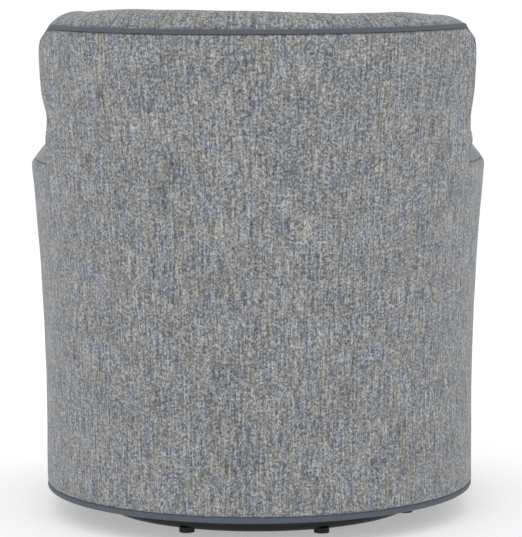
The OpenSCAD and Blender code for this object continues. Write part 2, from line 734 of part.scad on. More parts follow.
module front_posts() {
    low = [for (k = [0:post_rows]) mix(base_rail_z, deck_z - wood_gap, k / post_rows)];
    high = [for (k = [0:post_rows]) mix(deck_z + wood_gap, rail_top_z, k / post_rows)];
    color("#d3b88c") for (k = [0, 1]) mirror([k, 0, 0]) {
        slab([for (y = post_ys) [for (z = low) [side_x(y, z) - stave_w, -y, z]]],
            [for (y = post_ys) [for (z = low) [arm_in_x(y, z) - post_lap, -y, z]]]);
        slab([for (y = post_ys) [for (z = high) [side_x(y, z) - stave_w, -y, z]]],
            [for (y = post_ys) [for (z = high) [side_x(y, z) - stave_w - stave_t, -y, z]]]);
    }
}

// Staves stand between the rails, each as wide as one column or station
stave_columns = [3, 8, 13, 18, 23];
stave_stations = [1, 5];
stave_rows = 5;
module back_stave(c, e, z0, z1) {
    rows = [for (k = [0:stave_rows]) mix(z0, z1, k / stave_rows)];
    pair = [columns[c - 1], columns[c]];
    slab([for (p = pair) [for (z = rows) arc_pt(column_arc(p, e), z, stave_w)]],
        [for (p = pair) [for (z = rows) arc_pt(column_arc(p, e), z, stave_w + stave_t)]]);
}
module arm_stave(k, z0, z1) {
    rows = [for (r = [0:stave_rows]) mix(z0, z1, r / stave_rows)];
    pair = [arm_stations[k], arm_stations[k + 1]];
    slab(arm_band(pair, stave_w, rows), arm_band(pair, stave_w + stave_t, rows));
}
module low_staves() {
    z0 = base_rail_top + wood_gap;
    z1 = rail_top_z - rail_h - wood_gap;
    color("#d3b88c") {
        for (c = stave_columns) back_stave(c, rail_edge, z0, z1);
        for (k = stave_stations) for (m = [0, 1]) mirror([m, 0, 0]) arm_stave(k, z0, z1);
    }
}
module high_staves() {
    z0 = rail_top_z + wood_gap;
    z1 = back_rail_top_z - top_rail_h - wood_gap;
    color("#d3b88c") for (c = stave_columns) back_stave(c, rail_edge - corner_r / 2, z0, z1);
}

// Seat suspension: wire snakes along a meander from rail to rail
wire_sides = 5;
snake_x_shares = [-0.7, -0.24, 0.24, 0.7];
snake_w = 26;
snake_lean = 5;
snake_n = 8;
rings_a_bend = 6;
snake_front = frame_front_y - seat_ring_w / 4;
snake_rear = frame_rear_y + seat_rail_t / 4;
function snake_path(x) =
    [for (k = [0:snake_n * rings_a_bend])
        let (t = k / (snake_n * rings_a_bend), a = 360 * k / rings_a_bend)
        let (y = mix(-snake_front, snake_rear, t) - snake_lean * sin(2 * a))
        [x + snake_w * sin(a), y, snake_z + snake_arch * sin(180 * t)]];
module seat_springs() {
    color("#4a4d52") for (share = snake_x_shares)
        ringed(tube_rings(snake_path(share * frame_x), wire_r, wire_sides, [0, 0, 1]), false);
}
// Clips strap the wires' ends, which run sideways, to the frame ring
clip_w = 20;
clip_d = 14;
clip_t = 2;
clip_shift = 1.2;
clip_ease = 0.6;
clip_mouth = 2 * wire_r + clip_ease;
module spring_clips() {
    color("#9a9da2") for (share = snake_x_shares) for (y = [-snake_front, snake_rear])
        translate([share * frame_x, y - sign(y) * clip_shift, snake_z - wire_r]) difference() {
            translate([-clip_w / 2, -clip_d / 2, 0]) cube([clip_w, clip_d, clip_mouth + clip_t]);
            translate([-clip_w / 2 - over, clip_t - clip_d / 2, -over])
                cube([clip_w + 2 * over, clip_d - 2 * clip_t, clip_mouth + over]);
        }
}
module deck_pad() {
    color("#3d3f43") translate([0, 0, deck_pad_z]) linear_extrude(deck_pad_t)
        polygon(inner_plan(deck_pad_z, pad_w + welt_r, frame_front));
}
dust_t = 1.5;
dust_hole_r = 202;
module dust_cover() {
    color("#101012") translate([0, 0, base_rail_z - wood_gap - dust_t]) linear_extrude(dust_t) difference() {
        polygon(inner_plan(base_rail_z, stave_w + welt_r, arm_front_y));
        circle(r = dust_hole_r, $fn = 96);
    }
}

// Covers of the back
fabric = "#8a8c8d";
welt_blue = "#646a71";
module back_lining() {
    color("#a08a66") slab(back_grid(rim_edge, lining_w, panel_z), back_grid(rim_edge, lining_w + lining_t, panel_z));
}
module outside_back() {
    color(fabric) slab(back_grid(rim_edge, 0, panel_z), back_grid(rim_edge, skin_t, panel_z));
}
cushion_top_z = deck_z + seam_gap + cushion_h;
lumbar_rise = 90;
lumbar_fall = 170;
lumbar_power = 3;
function swell_at(c, z) =
    let (side = 1 - pow(abs(column_arc(c, rim_edge)) / wing_arc, lumbar_power))
    let (low = soft((z - cushion_top_z) / lumbar_rise), high = sqrt(clamp01((back_welt_z - z) / lumbar_fall)))
    back_crown * side * low * high;
module inside_back() {
    front = [for (c = columns) [for (r = [0:low_rows + high_rows])
        let (z = row_z(c, rim_edge, r, pad_z)) arc_pt(column_arc(c, rim_edge), z, back_t + swell_at(c, z))]];
    color(fabric) slab(front, back_grid(rim_edge, pad_w, pad_z));
}
// The boxing's cross section as shares of its width and of its crown
boxing_shares = [0, 0.07, 0.22, 0.45, 0.7, 0.91, 1];
boxing_power = 0.62;
boxing_foot = 0.8;
boxing_under = welt_r - 1.2;
welt_w = 1.5;
boxing_w0 = welt_w + welt_r + boxing_foot;
inner_welt_set = 2;
inner_welt_w = back_t - inner_welt_set;
boxing_w1 = inner_welt_w - welt_r - seam_gap;
function boxing_e(k, q) =
    boxing_foot + mix(wing_crown, top_crown, rim_top_share(k)) * pow(max(0, sin(180 * q)), boxing_power);
module back_boxing() {
    color("#94979b") slab(
        [for (k = [0:rim_n]) [for (q = boxing_shares) rim_pt(k, boxing_e(k, q), mix(boxing_w0, boxing_w1, q))]],
        [for (k = [0:rim_n]) [for (q = boxing_shares) rim_pt(k, -boxing_under, mix(boxing_w0, boxing_w1, q))]]);
}
module rim_welt(w) {
    color(welt_blue) ringed(
        [for (k = [0:rim_n]) [for (j = [0:welt_sides - 1])
            let (a = 360 * j / welt_sides) rim_pt(k, welt_r * sin(a), w + welt_r * cos(a))]], false);
}
module back_welt() {
    rim_welt(welt_w);
}
module inside_back_welt() {
    rim_welt(inner_welt_w);
}
foot_steps = 72;
foot_welt_w = 4;
module foot_welt() {
    color(welt_blue) ringed(
        [for (k = [0:foot_steps - 1]) [for (j = [0:welt_sides - 1])
            let (a = 360 * j / welt_sides)
            plan_pt(360 * k / foot_steps, foot_welt_z + foot_welt_r * sin(a), foot_welt_w + foot_welt_r * cos(a))]],
        true);
}

// Covers of the arms
arm_rows = 7;
function arm_row_z(r) = r < arm_rows - 1 ? mix(panel_z, rail_top_z, r / (arm_rows - 2))
    : r == arm_rows - 1 ? mix(rail_top_z, arm_seam_z - seam_gap / 2, 0.5) : arm_seam_z - seam_gap / 2;
module outside_arm(left) {
    rows = [for (r = [0:arm_rows]) arm_row_z(r)];
    color(fabric) mirrored(left) slab(
        [for (s = arm_stations) [for (z = rows) arm_pt(s, z, shoulder(z), arm_seam_angle)]],
        arm_band(arm_stations, stave_w - seam_gap, rows));
}
module outside_arm_left() {
    outside_arm(true);
}
module outside_arm_right() {
    outside_arm(false);
}
// The arm's outline from the seam over the top and down to the deck, as
// [depth below the outer surface, height], drawn in by e
top_n = 4;
face_shares = [0.25, 0.6, 1];
seam_lift = asin((arm_seam_z + seam_gap / 2 - rail_top_z) / arm_outer_r);
function outer_turn(a, e) = [arm_outer_r - (arm_outer_r - e) * cos(a), rail_top_z + (arm_outer_r - e) * sin(a)];
function inner_turn(s, a, e) =
    let (z = arm_top_z - arm_inner_r + (arm_inner_r - e) * cos(a))
    [arm_t(s, z) - arm_inner_r + (arm_inner_r - e) * sin(a), z];
function arm_outline(s) = concat(
    [for (k = [0:top_n]) outer_turn(mix(seam_lift, 90, k / top_n), 0)],
    [for (k = [0:top_n]) inner_turn(s, 90 * k / top_n, 0)],
    [for (f = face_shares) let (z = mix(arm_top_z - arm_inner_r, pad_z, f)) [arm_t(s, z), z]]);
outline_n = 2 * top_n + 1;
function arm_hidden(s) =
    [for (k = [0:outline_n + len(face_shares)])
        let (z = arm_outline(s)[k][1])
        k == 0 ? [stave_w + seam_gap, z]
        : k <= outline_n ? [mix(stave_w + seam_gap, pad_w, k / outline_n), rail_top_z + seam_gap]
        : [pad_w, z]];
module arm_pad(left) {
    color(fabric) mirrored(left) slab(
        [for (s = arm_stations) [for (p = arm_outline(s)) arm_pt(s, p[1], p[0], arm_seam_angle)]],
        [for (s = arm_stations) [for (p = arm_hidden(s)) arm_pt(s, p[1], p[0], arm_seam_angle)]]);
}
module arm_pad_left() {
    arm_pad(true);
}
module arm_pad_right() {
    arm_pad(false);
}
// The arm's front end: a path round it, drawn in by e
end_rows = 5;
end_front_y = arm_front_y + seam_gap;
function end_path(e) = concat(
    [for (k = [0:end_rows - 1]) [e, mix(panel_z, rail_top_z, k / end_rows)]],
    [for (k = [0:top_n]) outer_turn(90 * k / top_n, e)],
    [for (k = [0:top_n]) inner_turn(1, 90 * k / top_n, e)],
    [for (k = [end_rows - 1:-1:0]) let (z = mix(panel_z, arm_top_z - arm_inner_r, k / end_rows)) [arm_t(1, z) - e, z]]);
module arm_front_welt() {
    y = end_front_y + welt_r;
    ringed([for (k = [0:len(end_path(0)) - 1]) [for (j = [0:welt_sides - 1])
        let (a = 360 * j / welt_sides, p = end_path(welt_r - welt_r * cos(a))[k])
        [side_x(arm_front_y, p[1]) - p[0], -y - welt_r * sin(a), p[1]]]], false);
}
module arm_front_welts() {
    color(welt_blue) for (k = [0, 1]) mirror([k, 0, 0]) arm_front_welt();
}
front_proud = 10;
front_dome = 3;
front_rows = 8;
front_in = 2 * welt_r + seam_gap;
front_tops = concat(
    [for (k = [0:top_n]) outer_turn(90 * k / top_n, front_in)],
    [for (k = [0:top_n]) inner_turn(1, 90 * k / top_n, front_in)]);
function front_cell(i, r, out) =
    let (top = front_tops[i], z = mix(panel_z, top[1], r / front_rows))
    let (wide = arm_t(1, z) - 2 * front_in, share = (top[0] - front_in) / (arm_t(1, arm_top_z) - 2 * front_in))
    let (x = side_x(arm_front_y, z) - front_in - wide * share)
    out ? [x, -fore_y(x, z) - front_proud - front_dome * sin(180 * clamp01(share)), z] : [x, -end_front_y, z];
module arm_front(left) {
    color(fabric) mirrored(left) slab(
        [for (i = [0:outline_n]) [for (r = [0:front_rows]) front_cell(i, r, true)]],
        [for (i = [0:outline_n]) [for (r = [0:front_rows]) front_cell(i, r, false)]]);
}
module arm_front_left() {
    arm_front(true);
}
module arm_front_right() {
    arm_front(false);
}
apron_rows = 5;
module front_apron() {
    rows = [for (r = [0:apron_rows]) mix(panel_z, deck_z, r / apron_rows)];
    color(fabric) slab(fore_band(apron_proud, rows), fore_band(seam_gap - stave_w, rows));
}

// Loose seat cushion: its plan at the seams, then rings drawn in by e
cushion_z = deck_z + seam_gap;
cushion_corner_r = 42;
corner_step = 22.5;
cushion_bow = 6;
cushion_rear_w = back_t + 2 * seam_gap;
cushion_side_gap = 0.8;
rear_angle = 12;
rear_points = 13;
side_y_shares = [0, 0.3, 0.6, 0.84];
bow_shares = [0.6, 0, -0.6];
function cushion_side_x(y) = arm_in_x(y, cushion_z) - cushion_side_gap;
cushion_corner = [cushion_side_x(cushion_front_y - cushion_corner_r) - cushion_corner_r,
    cushion_corner_r - cushion_front_y];
cushion_half = concat(
    [for (f = side_y_shares) [cushion_side_x(f * arm_front_y), -f * arm_front_y]],
    [for (a = [0:corner_step:90]) cushion_corner + cushion_corner_r * [cos(a), -sin(a)]]);
cushion_plan = concat(
    [for (k = [rear_points - 1:-1:0])
        let (p = rear_pt(mix(rear_angle, 180 - rear_angle, k / (rear_points - 1)), cushion_z, cushion_rear_w)) [p.x, p.y]],
    cushion_half,
    [for (f = bow_shares) [f * cushion_corner.x, -cushion_front_y - cushion_bow * (1 - f * f)]],
    [for (k = [len(cushion_half) - 1:-1:0]) [-cushion_half[k].x, cushion_half[k].y]]);
// A closed path moved inwards by e
function drawn_in(path, e) =
    let (n = len(path))
    [for (k = [0:n - 1])
        let (d = path[(k + 1) % n] - path[(k + n - 1) % n], u = d / norm(d))
        path[k] + e * [u.y, -u.x]];
cushion_mid_y = -70;
cushion_mid = [0, cushion_mid_y];
seam_ease_in = 1.4;
seam_in = 2 * welt_r + seam_ease_in;
seam_lift_z = 1;
low_seam_z = cushion_z + welt_r + seam_lift_z;
high_seam_z = cushion_z + cushion_h - welt_r;
seam_ease = 10;
side_in = 3;
waist_in = 5.5;
crown_shares = [[0.88, 0.36], [0.7, 0.7], [0.48, 0.9], [0.24, 0.99]];
function cushion_ring(e, z) = [for (p = drawn_in(cushion_plan, e)) [p.x, p.y, z]];
module seat_cushion() {
    top = drawn_in(cushion_plan, seam_in);
    color(fabric) ringed(concat(
        [cushion_ring(2 * seam_in, cushion_z), cushion_ring(seam_in, low_seam_z),
            cushion_ring(side_in, low_seam_z + seam_ease),
            cushion_ring(waist_in, (low_seam_z + high_seam_z) / 2),
            cushion_ring(side_in, high_seam_z - seam_ease), cushion_ring(seam_in, high_seam_z)],
        [for (s = crown_shares) [for (p = top)
            let (q = cushion_mid + s[0] * (p - cushion_mid)) [q.x, q.y, high_seam_z + s[1] * cushion_crown]]]),
        false);
}
module cushion_welts() {
    color(welt_blue) for (z = [low_seam_z, high_seam_z])
        ringed([for (k = [0:len(cushion_plan) - 1]) [for (j = [0:welt_sides - 1])
            let (a = 360 * j / welt_sides, p = drawn_in(cushion_plan, welt_r + welt_r * cos(a))[k])
            [p.x, p.y, z + welt_r * sin(a)]]], true);
}

floor_ring();
floor_glides();
base_arms();
lower_bearing_plate();
king_pin();
ball_cage();
bearing_balls();
upper_bearing_plate();
rocker_cradle();
pivot_bushes();
lower_spring_cups();
bump_stops();
pivot_shaft();
shaft_collars();
rocker_plate();
upper_spring_cups();
spring_front_left();
spring_front_right();
spring_rear_left();
spring_rear_right();
rocker_plate_bolts();
cross_rails();
front_seat_rail();
rear_seat_rail();
side_seat_rails();
corner_blocks();
seat_frame_ring();
rear_base_rail();
left_base_rail();
right_base_rail();
front_base_rail();
low_staves();
high_staves();
back_middle_rail();
back_top_rail();
left_arm_rail();
right_arm_rail();
front_top_rail();
front_posts();
seat_springs();
spring_clips();
deck_pad();
dust_cover();
back_lining();
outside_back();
outside_arm_left();
outside_arm_right();
arm_front_left();
arm_front_right();
front_apron();
back_boxing();
inside_back();
arm_pad_left();
arm_pad_right();
seat_cushion();
back_welt();
inside_back_welt();
foot_welt();
cushion_welts();
arm_front_welts();
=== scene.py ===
"""A swivel rocker of barrel form: covers, cushions, welts, wires and finishes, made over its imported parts.

Lengths are in metres. The origin is on the floor under the swivel axis, +Z is up and the sitter faces -Y.
"""

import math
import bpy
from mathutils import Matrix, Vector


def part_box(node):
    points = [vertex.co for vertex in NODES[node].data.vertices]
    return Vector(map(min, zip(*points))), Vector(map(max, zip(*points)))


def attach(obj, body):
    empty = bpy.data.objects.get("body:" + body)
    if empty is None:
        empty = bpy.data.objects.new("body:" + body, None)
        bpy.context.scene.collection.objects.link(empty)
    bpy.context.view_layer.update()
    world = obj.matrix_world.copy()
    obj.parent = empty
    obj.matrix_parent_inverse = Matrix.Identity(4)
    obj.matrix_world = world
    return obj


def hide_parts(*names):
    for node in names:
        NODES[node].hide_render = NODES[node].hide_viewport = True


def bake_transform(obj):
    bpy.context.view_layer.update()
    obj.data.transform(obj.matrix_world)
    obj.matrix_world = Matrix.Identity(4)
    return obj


bl_info = {
    "name": "Barrel Swivel Rocker",
    "version": (1, 0, 0),
    "blender": (4, 5, 0),
    "location": "3D View > Sidebar > Rocker",
    "description": "Dresses the parts of a barrel swivel rocker in tweed, welts, wood and steel",
    "category": "Add Mesh",
}

from types import SimpleNamespace

import bpy
import numpy as np
from bpy.props import FloatProperty, FloatVectorProperty, IntProperty, PointerProperty
from mathutils import Matrix

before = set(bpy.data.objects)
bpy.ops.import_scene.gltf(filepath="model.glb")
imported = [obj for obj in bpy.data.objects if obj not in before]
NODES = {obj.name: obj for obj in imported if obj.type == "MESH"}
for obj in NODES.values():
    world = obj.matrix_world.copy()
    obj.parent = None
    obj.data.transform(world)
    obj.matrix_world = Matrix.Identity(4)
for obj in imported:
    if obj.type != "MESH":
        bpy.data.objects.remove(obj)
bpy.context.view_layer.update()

MM = 0.001

# Powers and shares of the barrel's plan, and the angles from +X to the waist and to the wings' edges
FLARE_POWER = 1.9
FRONT_POWER = 6
FRONT_FLARE_SHARE = 0.6
WAIST_ANGLE = math.radians(24.5)
WING_ANGLE = math.radians(22.25)

# Left between two sewn pieces, and the arm's length behind the axis
GAP = 0.4 * MM
ARM_REAR = 0.171

# Distances from an edge at which a grid's rows crowd, so that the edge can be rolled
EDGE_STEPS = [step * MM for step in (0.3, 0.9, 1.8, 3, 4.4, 6.5)]
FRONT_STEPS = [step * MM for step in (0.4, 1.2, 2.4, 4, 6, 9)]

# Points of an arm's outline on each of its two turns, on the flat top between them, and on the inner face
TURN_POINTS, FLAT_POINTS, FACE_POINTS = 22, 4, 57
TOP_POINTS = 2 * TURN_POINTS + FLAT_POINTS
OUTLINE_POINTS = TOP_POINTS + FACE_POINTS

# How far the cushion's seams lie inside its plan, and where its middle lies along Y
SEAM_INSET = 9.4 * MM
CUSHION_MIDDLE = -0.07

# Places of the rocker springs at either side of the swivel axis
SPRING_X, SPRING_Y = 0.088, 0.078


def linear(code):
    """Turns an sRGB hex colour into linear red, green, blue and alpha."""
    c = np.array([int(code[k : k + 2], 16) for k in (1, 3, 5)]) / 255
    c = np.where(c <= 0.04045, c / 12.92, ((c + 0.055) / 1.055) ** 2.4)
    return (*c.tolist(), 1.0)


def length(name, description, default):
    """A length in metres that a user can change."""
    return FloatProperty(name=name, description=description, default=default, unit="LENGTH")


def dye(name, description, code):
    """A colour that a user can change, given as sRGB hex."""
    return FloatVectorProperty(name=name, description=description, subtype="COLOR", default=linear(code)[:3])


class RockerBarrel(bpy.types.PropertyGroup):
    """Sizes of the barrel and its arms"""

    foot_radius: length("Foot radius", "Radius of the barrel's foot", 0.368)
    front_depth: length("Front depth", "From the swivel axis to the foot's front", 0.395)
    side_flare: length("Side flare", "How far the sides stand out at arm height", 0.022)
    flare_start: length("Flare start", "Height at which the flare starts", 0.18)
    skirt: length("Skirt clearance", "Clearance under the skirt", 0.04)
    back_top: length("Back height", "Height of the welt along the back's top edge", 0.842)
    corner: length("Corner radius", "Radius of the outside back's top corners", 0.05)
    back_depth: length("Back thickness", "Thickness of the back and of the arms", 0.104)
    top_crown: length("Top crown", "How far the boxing stands up along the top", 0.031)
    wing_crown: length("Wing crown", "How far the boxing stands out along the wings", 0.018)
    back_swell: length("Back swell", "How far the inside back swells", 0.034)
    arm_top: length("Arm height", "Height of the arms", 0.625)
    arm_seam: length("Arm seam height", "Height of the crease under the arm's top roll", 0.612)
    arm_outer: length("Outer arm radius", "Radius of the arm's outer top edge", 0.03)
    arm_inner: length("Inner arm radius", "Radius of the arm's inner top edge", 0.032)
    arm_front: length("Arm front", "From the swivel axis to the arms' front ends", 0.352)
    arm_taper: length("Arm taper", "How much thicker the arm is at its front end", 0.006)


class RockerSoftGoods(bpy.types.PropertyGroup):
    """Sizes of the seat cushion and the welts"""

    deck: length("Deck height", "Height of the deck under the cushion", 0.328)
    cushion_height: length("Cushion height", "Height of the cushion at its seams", 0.118)
    cushion_crown: length("Cushion crown", "How far the cushion's top swells", 0.024)
    cushion_front: length("Cushion front", "From the swivel axis to the cushion's front", 0.404)
    dust_hole: length("Dust cloth hole", "Radius of the hole round the rocker head", 0.2024)
    welt: length("Welt radius", "Radius of the welts", 0.004)
    foot_welt: length("Foot welt radius", "Radius of the welt round the foot", 0.0055)
    swell_steps: IntProperty(
        name="Swell steps", description="Steps of the cloth simulation of the cushion", default=20, min=1)
    swell_pressure: FloatProperty(
        name="Swell pressure", description="Pressure in the cushion while it swells", default=4.0)


class RockerCloth(bpy.types.PropertyGroup):
    """Colours and thread sizes of the tweed and the welt cloth"""

    yarn_pitch: length("Yarn pitch", "Distance between two warp yarns", 0.002)
    float_length: length("Float length", "Length of a yarn's float on the face", 0.003)
    streak_length: length("Slub length", "Length of the slubs along the warp", 0.03)
    dark_yarn: dye("Dark yarn", "Darkest yarn", "#3f4145")
    blue_yarn: dye("Blue yarn", "Blue grey yarn", "#70747c")
    taupe_yarn: dye("Taupe yarn", "Taupe yarn", "#7b7c7a")
    pale_yarn: dye("Pale yarn", "Palest yarn", "#c0c1bf")
    welt_yarn: dye("Welt cloth", "Slate cloth of the welts", "#575e66")


def barrel():
    """The barrel's sizes in this scene."""
    return bpy.context.scene.rocker_barrel


def goods():
    """The soft goods' sizes in this scene."""
    return bpy.context.scene.rocker_goods


# The barrel's surface


def flare_share(z):
    """0 below the flare's start, 1 at the arm seam, and more above."""
    b = barrel()
    return np.maximum(0.0, z - b.flare_start) / (b.arm_seam - b.flare_start)


def half_width(z):
    """Half the barrel's width: the foot's radius plus the flare's power curve, which stops at the arm
    seam."""
    b = barrel()
    return b.foot_radius + b.side_flare * np.minimum(1.0, flare_share(z)) ** FLARE_POWER


def rear_depth(z):
    """The barrel's depth behind the axis: as half_width, but the back leans on past the arm seam."""
    b = barrel()
    return b.foot_radius + b.side_flare * flare_share(z) ** FLARE_POWER


def fore_depth(z):
    """The barrel's depth in front of the axis, which has a share of the sides' flare."""
    b = barrel()
    return b.front_depth + FRONT_FLARE_SHARE * (half_width(z) - b.foot_radius)


def spread(*values):
    """Arrays of one common shape."""
    return np.broadcast_arrays(*[np.asarray(v, float) for v in values])


def moved_in(x, y, z, slope_x, slope_y, depth):
    """A point moved by depth against the slope, which is square to the barrel's plan there."""
    slope = np.hypot(slope_x, slope_y)
    return np.stack([x - depth * slope_x / slope, y - depth * slope_y / slope, z], -1)


def rear_point(angle, z, depth):
    """A point of the back half: on the ellipse of half_width and rear_depth at an angle from +X, then
    moved in by depth."""
    angle, z, depth = spread(angle, z, depth)
    a, c = half_width(z), rear_depth(z)
    r = 1 / np.hypot(np.cos(angle) / a, np.sin(angle) / c)
    x, y = r * np.cos(angle), r * np.sin(angle)
    return moved_in(x, y, z, x / a**2, y / c**2, depth)


def plan_point(angle, z, depth):
    """A point of the whole plan: the rear ellipse behind the axis and a superellipse before it."""
    angle, z, depth = spread(angle, z, depth)
    n = FRONT_POWER
    a, c = half_width(z), fore_depth(z)
    r = ((np.abs(np.cos(angle)) / a) ** n + (np.abs(np.sin(angle)) / c) ** n) ** (-1 / n)
    x, y = r * np.cos(angle), r * np.sin(angle)
    slope_x = np.sign(x) * np.abs(x / a) ** (n - 1) / a
    slope_y = np.sign(y) * np.abs(y / c) ** (n - 1) / c
    fore = moved_in(x, y, z, slope_x, slope_y, depth)
    return np.where((np.sin(angle) >= 0)[..., None], rear_point(angle, z, depth), fore)


def side_x(y, z):
    """Half the width at a distance y in front of the axis, on the superellipse."""
    y, z = spread(y, z)
    return half_width(z) * (1 - (np.abs(y) / fore_depth(z)) ** FRONT_POWER) ** (1 / FRONT_POWER)


def fore_y(x, z):
    """The front's distance from the axis at x, on the same superellipse."""
    x, z = spread(x, z)
    return fore_depth(z) * (1 - (np.abs(x) / half_width(z)) ** FRONT_POWER) ** (1 / FRONT_POWER)


def smooth(t):
    """0 below 0, 1 above 1, and a soft cubic step between."""
    c = np.clip(t, 0, 1)
    return c * c * (3 - 2 * c)


def wing_arc():
    """Arc length from the middle of the back to the wing's edge."""
    return barrel().foot_radius * (math.pi / 2 - WING_ANGLE)


def arc_point(arc, z, depth):
    """A point of the back given flat, as arc length from its middle and height. Below the top corners
    the edge is drawn in towards the waist, which it reaches 18 hundredths of the way up from the
    arms."""
    b = barrel()
    waist = (math.pi / 2 - WAIST_ANGLE) / (math.pi / 2 - WING_ANGLE)
    high = b.back_top - b.corner
    low = b.arm_top + 0.18 * (high - b.arm_top)
    arc, z, depth = spread(arc, z, depth)
    share = waist + (1 - waist) * smooth((z - low) / (high - low))
    return rear_point(math.pi / 2 - arc * share / b.foot_radius, z, depth)


def wing_pull(arc, z):
    """How far the wings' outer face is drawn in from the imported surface. It stands 3 mm out near the
    edge. Above the arms one bell curve draws it in, further on the sitter's left, and a lower one lets
    it out."""
    reach, rise = 70 * MM, z - barrel().arm_top
    near = smooth((np.abs(arc) - wing_arc() + reach) / reach)
    out = 3 * MM * smooth((rise - 20 * MM) / (40 * MM))
    waist = np.where(arc > 0, 6.5, 3) * MM * np.exp(-(((rise - 65 * MM) / (27 * MM)) ** 2))
    foot = np.where(arc > 0, 1.5, 5) * MM * np.exp(-(((rise - 25 * MM) / (14 * MM)) ** 2))
    return near * ((waist - foot) * smooth(rise / (20 * MM)) - out)


def arm_start():
    """Angle from beside the axis back to the arm's rear end, at the welt of the back."""
    return WAIST_ANGLE + goods().welt / barrel().foot_radius


def arm_point(s, z, depth):
    """A point of the arm: s runs from -1 at the back panel over 0 beside the axis to 1 at the front end."""
    reach = barrel().arm_front
    s, z, depth = spread(s, z, depth)
    fore = np.stack([side_x(np.maximum(s, 0) * reach, z) - depth, -s * reach, z], -1)
    return np.where((s < 0)[..., None], rear_point(-np.minimum(s, 0) * arm_start(), z, depth), fore)


def arm_run(s):
    """Length along the arm's outer surface from beside the axis, which lays the cloth's grain."""
    b = barrel()
    return np.where(s < 0, s * arm_start() * (b.foot_radius + b.side_flare), s * b.arm_front)


def arm_thickness(s, z):
    """Thickness of the arm, whose inner face runs straight to the front but for a taper with s squared."""
    b = barrel()
    s, z = spread(s, z)
    front = np.maximum(s, 0)
    return b.back_depth + b.arm_taper * front**2 + side_x(front * b.arm_front, z) - side_x(0.0, z)


def arm_inner_x(y, z):
    """Distance of the arm's inner face from the middle, at a distance y before the axis."""
    b = barrel()
    return side_x(0.0, z) - b.back_depth - b.arm_taper * (y / b.arm_front) ** 2


def arm_surface(depth):
    """Height of the arm's top at a depth below its outer surface: two quarter circles and the flat
    between."""
    b = barrel()
    return b.arm_top - rolled(depth, b.arm_outer) - rolled(b.back_depth - depth, b.arm_inner)


def shoulder(z):
    """How far the outer surface is drawn in above the shoulder, on a quarter circle."""
    return rolled(barrel().arm_top - z, barrel().arm_outer)


def rolled(distance, radius):
    """Depth of a rolled edge, a quarter circle, at a distance from the edge."""
    d = np.clip(radius - distance, 0, radius)
    return radius - np.sqrt(np.clip(radius**2 - d**2, 0, None))


def stations(low, high, count, edges=()):
    """Values from low to high in even steps, with extra ones at the given small distances from both
    ends."""
    even = np.linspace(low, high, count)
    near = [low + e for e in edges] + [high - e for e in edges]
    return np.array(sorted(set(np.round(np.concatenate([even, near]), 9).tolist())))


def wavy(u, v, seed):
    """A slow, even-handed unevenness between -1 and 1: the mean of six sine waves with seeded
    directions."""
    rng = np.random.default_rng(seed)
    total = 0
    for k in range(6):
        turn, wave, start = rng.uniform(0, math.tau), rng.uniform(0.05, 0.17), rng.uniform(0, math.tau)
        total = total + np.sin(math.tau * (u * math.cos(turn) + v * math.sin(turn)) / wave + start)
    return total / 6


def puckers(run, distance, seed):
    """Small gathers of a stitched edge: five sine waves 15 to 45 mm long that fade 14 mm away from the
    seam."""
    rng = np.random.default_rng(seed)
    total = 0
    for k in range(5):
        total = total + np.sin(math.tau * run / rng.uniform(0.015, 0.045) + rng.uniform(0, math.tau))
    return total / 5 * np.exp(-np.maximum(distance, 0) / (14 * MM))


# Meshes


def write(items, key, values, kind=np.float32):
    """Writes an array into one property of a mesh's items."""
    items.foreach_set(key, np.ascontiguousarray(values, kind).ravel())


def read(items, key, width=1, kind=np.float32):
    """Reads one property of a mesh's items as an array."""
    values = np.empty(len(items) * width, kind)
    items.foreach_get(key, values)
    return values.reshape(-1, width) if width > 1 else values


def place_object(name, data):
    """A new object in the scene, at the origin."""
    obj = bpy.data.objects.new(name, data)
    bpy.context.scene.collection.objects.link(obj)
    return obj


def put_mesh(name, points, faces, uv):
    """Makes a smooth mesh from points, quads or triangles, and the cloth's coordinates of every corner."""
    mesh = bpy.data.meshes.new(name)
    sizes = np.concatenate([np.full(len(f), f.shape[1]) for f in faces])
    corners = np.concatenate([f.ravel() for f in faces])
    mesh.vertices.add(len(points))
    mesh.loops.add(len(corners))
    mesh.polygons.add(len(sizes))
    write(mesh.vertices, "co", points)
    write(mesh.loops, "vertex_index", corners, np.int32)
    write(mesh.polygons, "loop_start", np.cumsum(sizes) - sizes, np.int32)
    write(mesh.polygons, "use_smooth", np.ones(len(sizes)), bool)
    mesh.update(calc_edges=True)
    write(mesh.uv_layers.new(name="cloth").data, "uv", uv)
    mesh.validate()
    return place_object(name, mesh)


def settled(obj):
    """Gives an object the mesh that its modifiers make, and takes them off."""
    bpy.context.view_layer.update()
    mesh = bpy.data.meshes.new_from_object(obj.evaluated_get(bpy.context.evaluated_depsgraph_get()))
    obj.modifiers.clear()
    obj.data = mesh
    return mesh


def quads(ni, nj, close_i=False, close_j=False):
    """Corner numbers of a grid's quads, and the rows and columns of those corners before a closed side
    wraps."""
    rows, columns = np.arange(ni if close_i else ni - 1), np.arange(nj if close_j else nj - 1)
    i, j = np.meshgrid(rows, columns, indexing="ij")
    i, j = i.reshape(-1, 1) + np.array([0, 1, 1, 0]), j.reshape(-1, 1) + np.array([0, 0, 1, 1])
    return (i % ni) * nj + j % nj, i, j


def away_from(points, faces, centres):
    """Tells whether the faces' normals point away from a centre for each face, over the whole mesh."""
    p = points[faces]
    normal = np.cross(p[:, 2] - p[:, 0], p[:, 3] - p[:, 1])
    return np.sum(normal * (p.mean(1) - centres)) >= 0


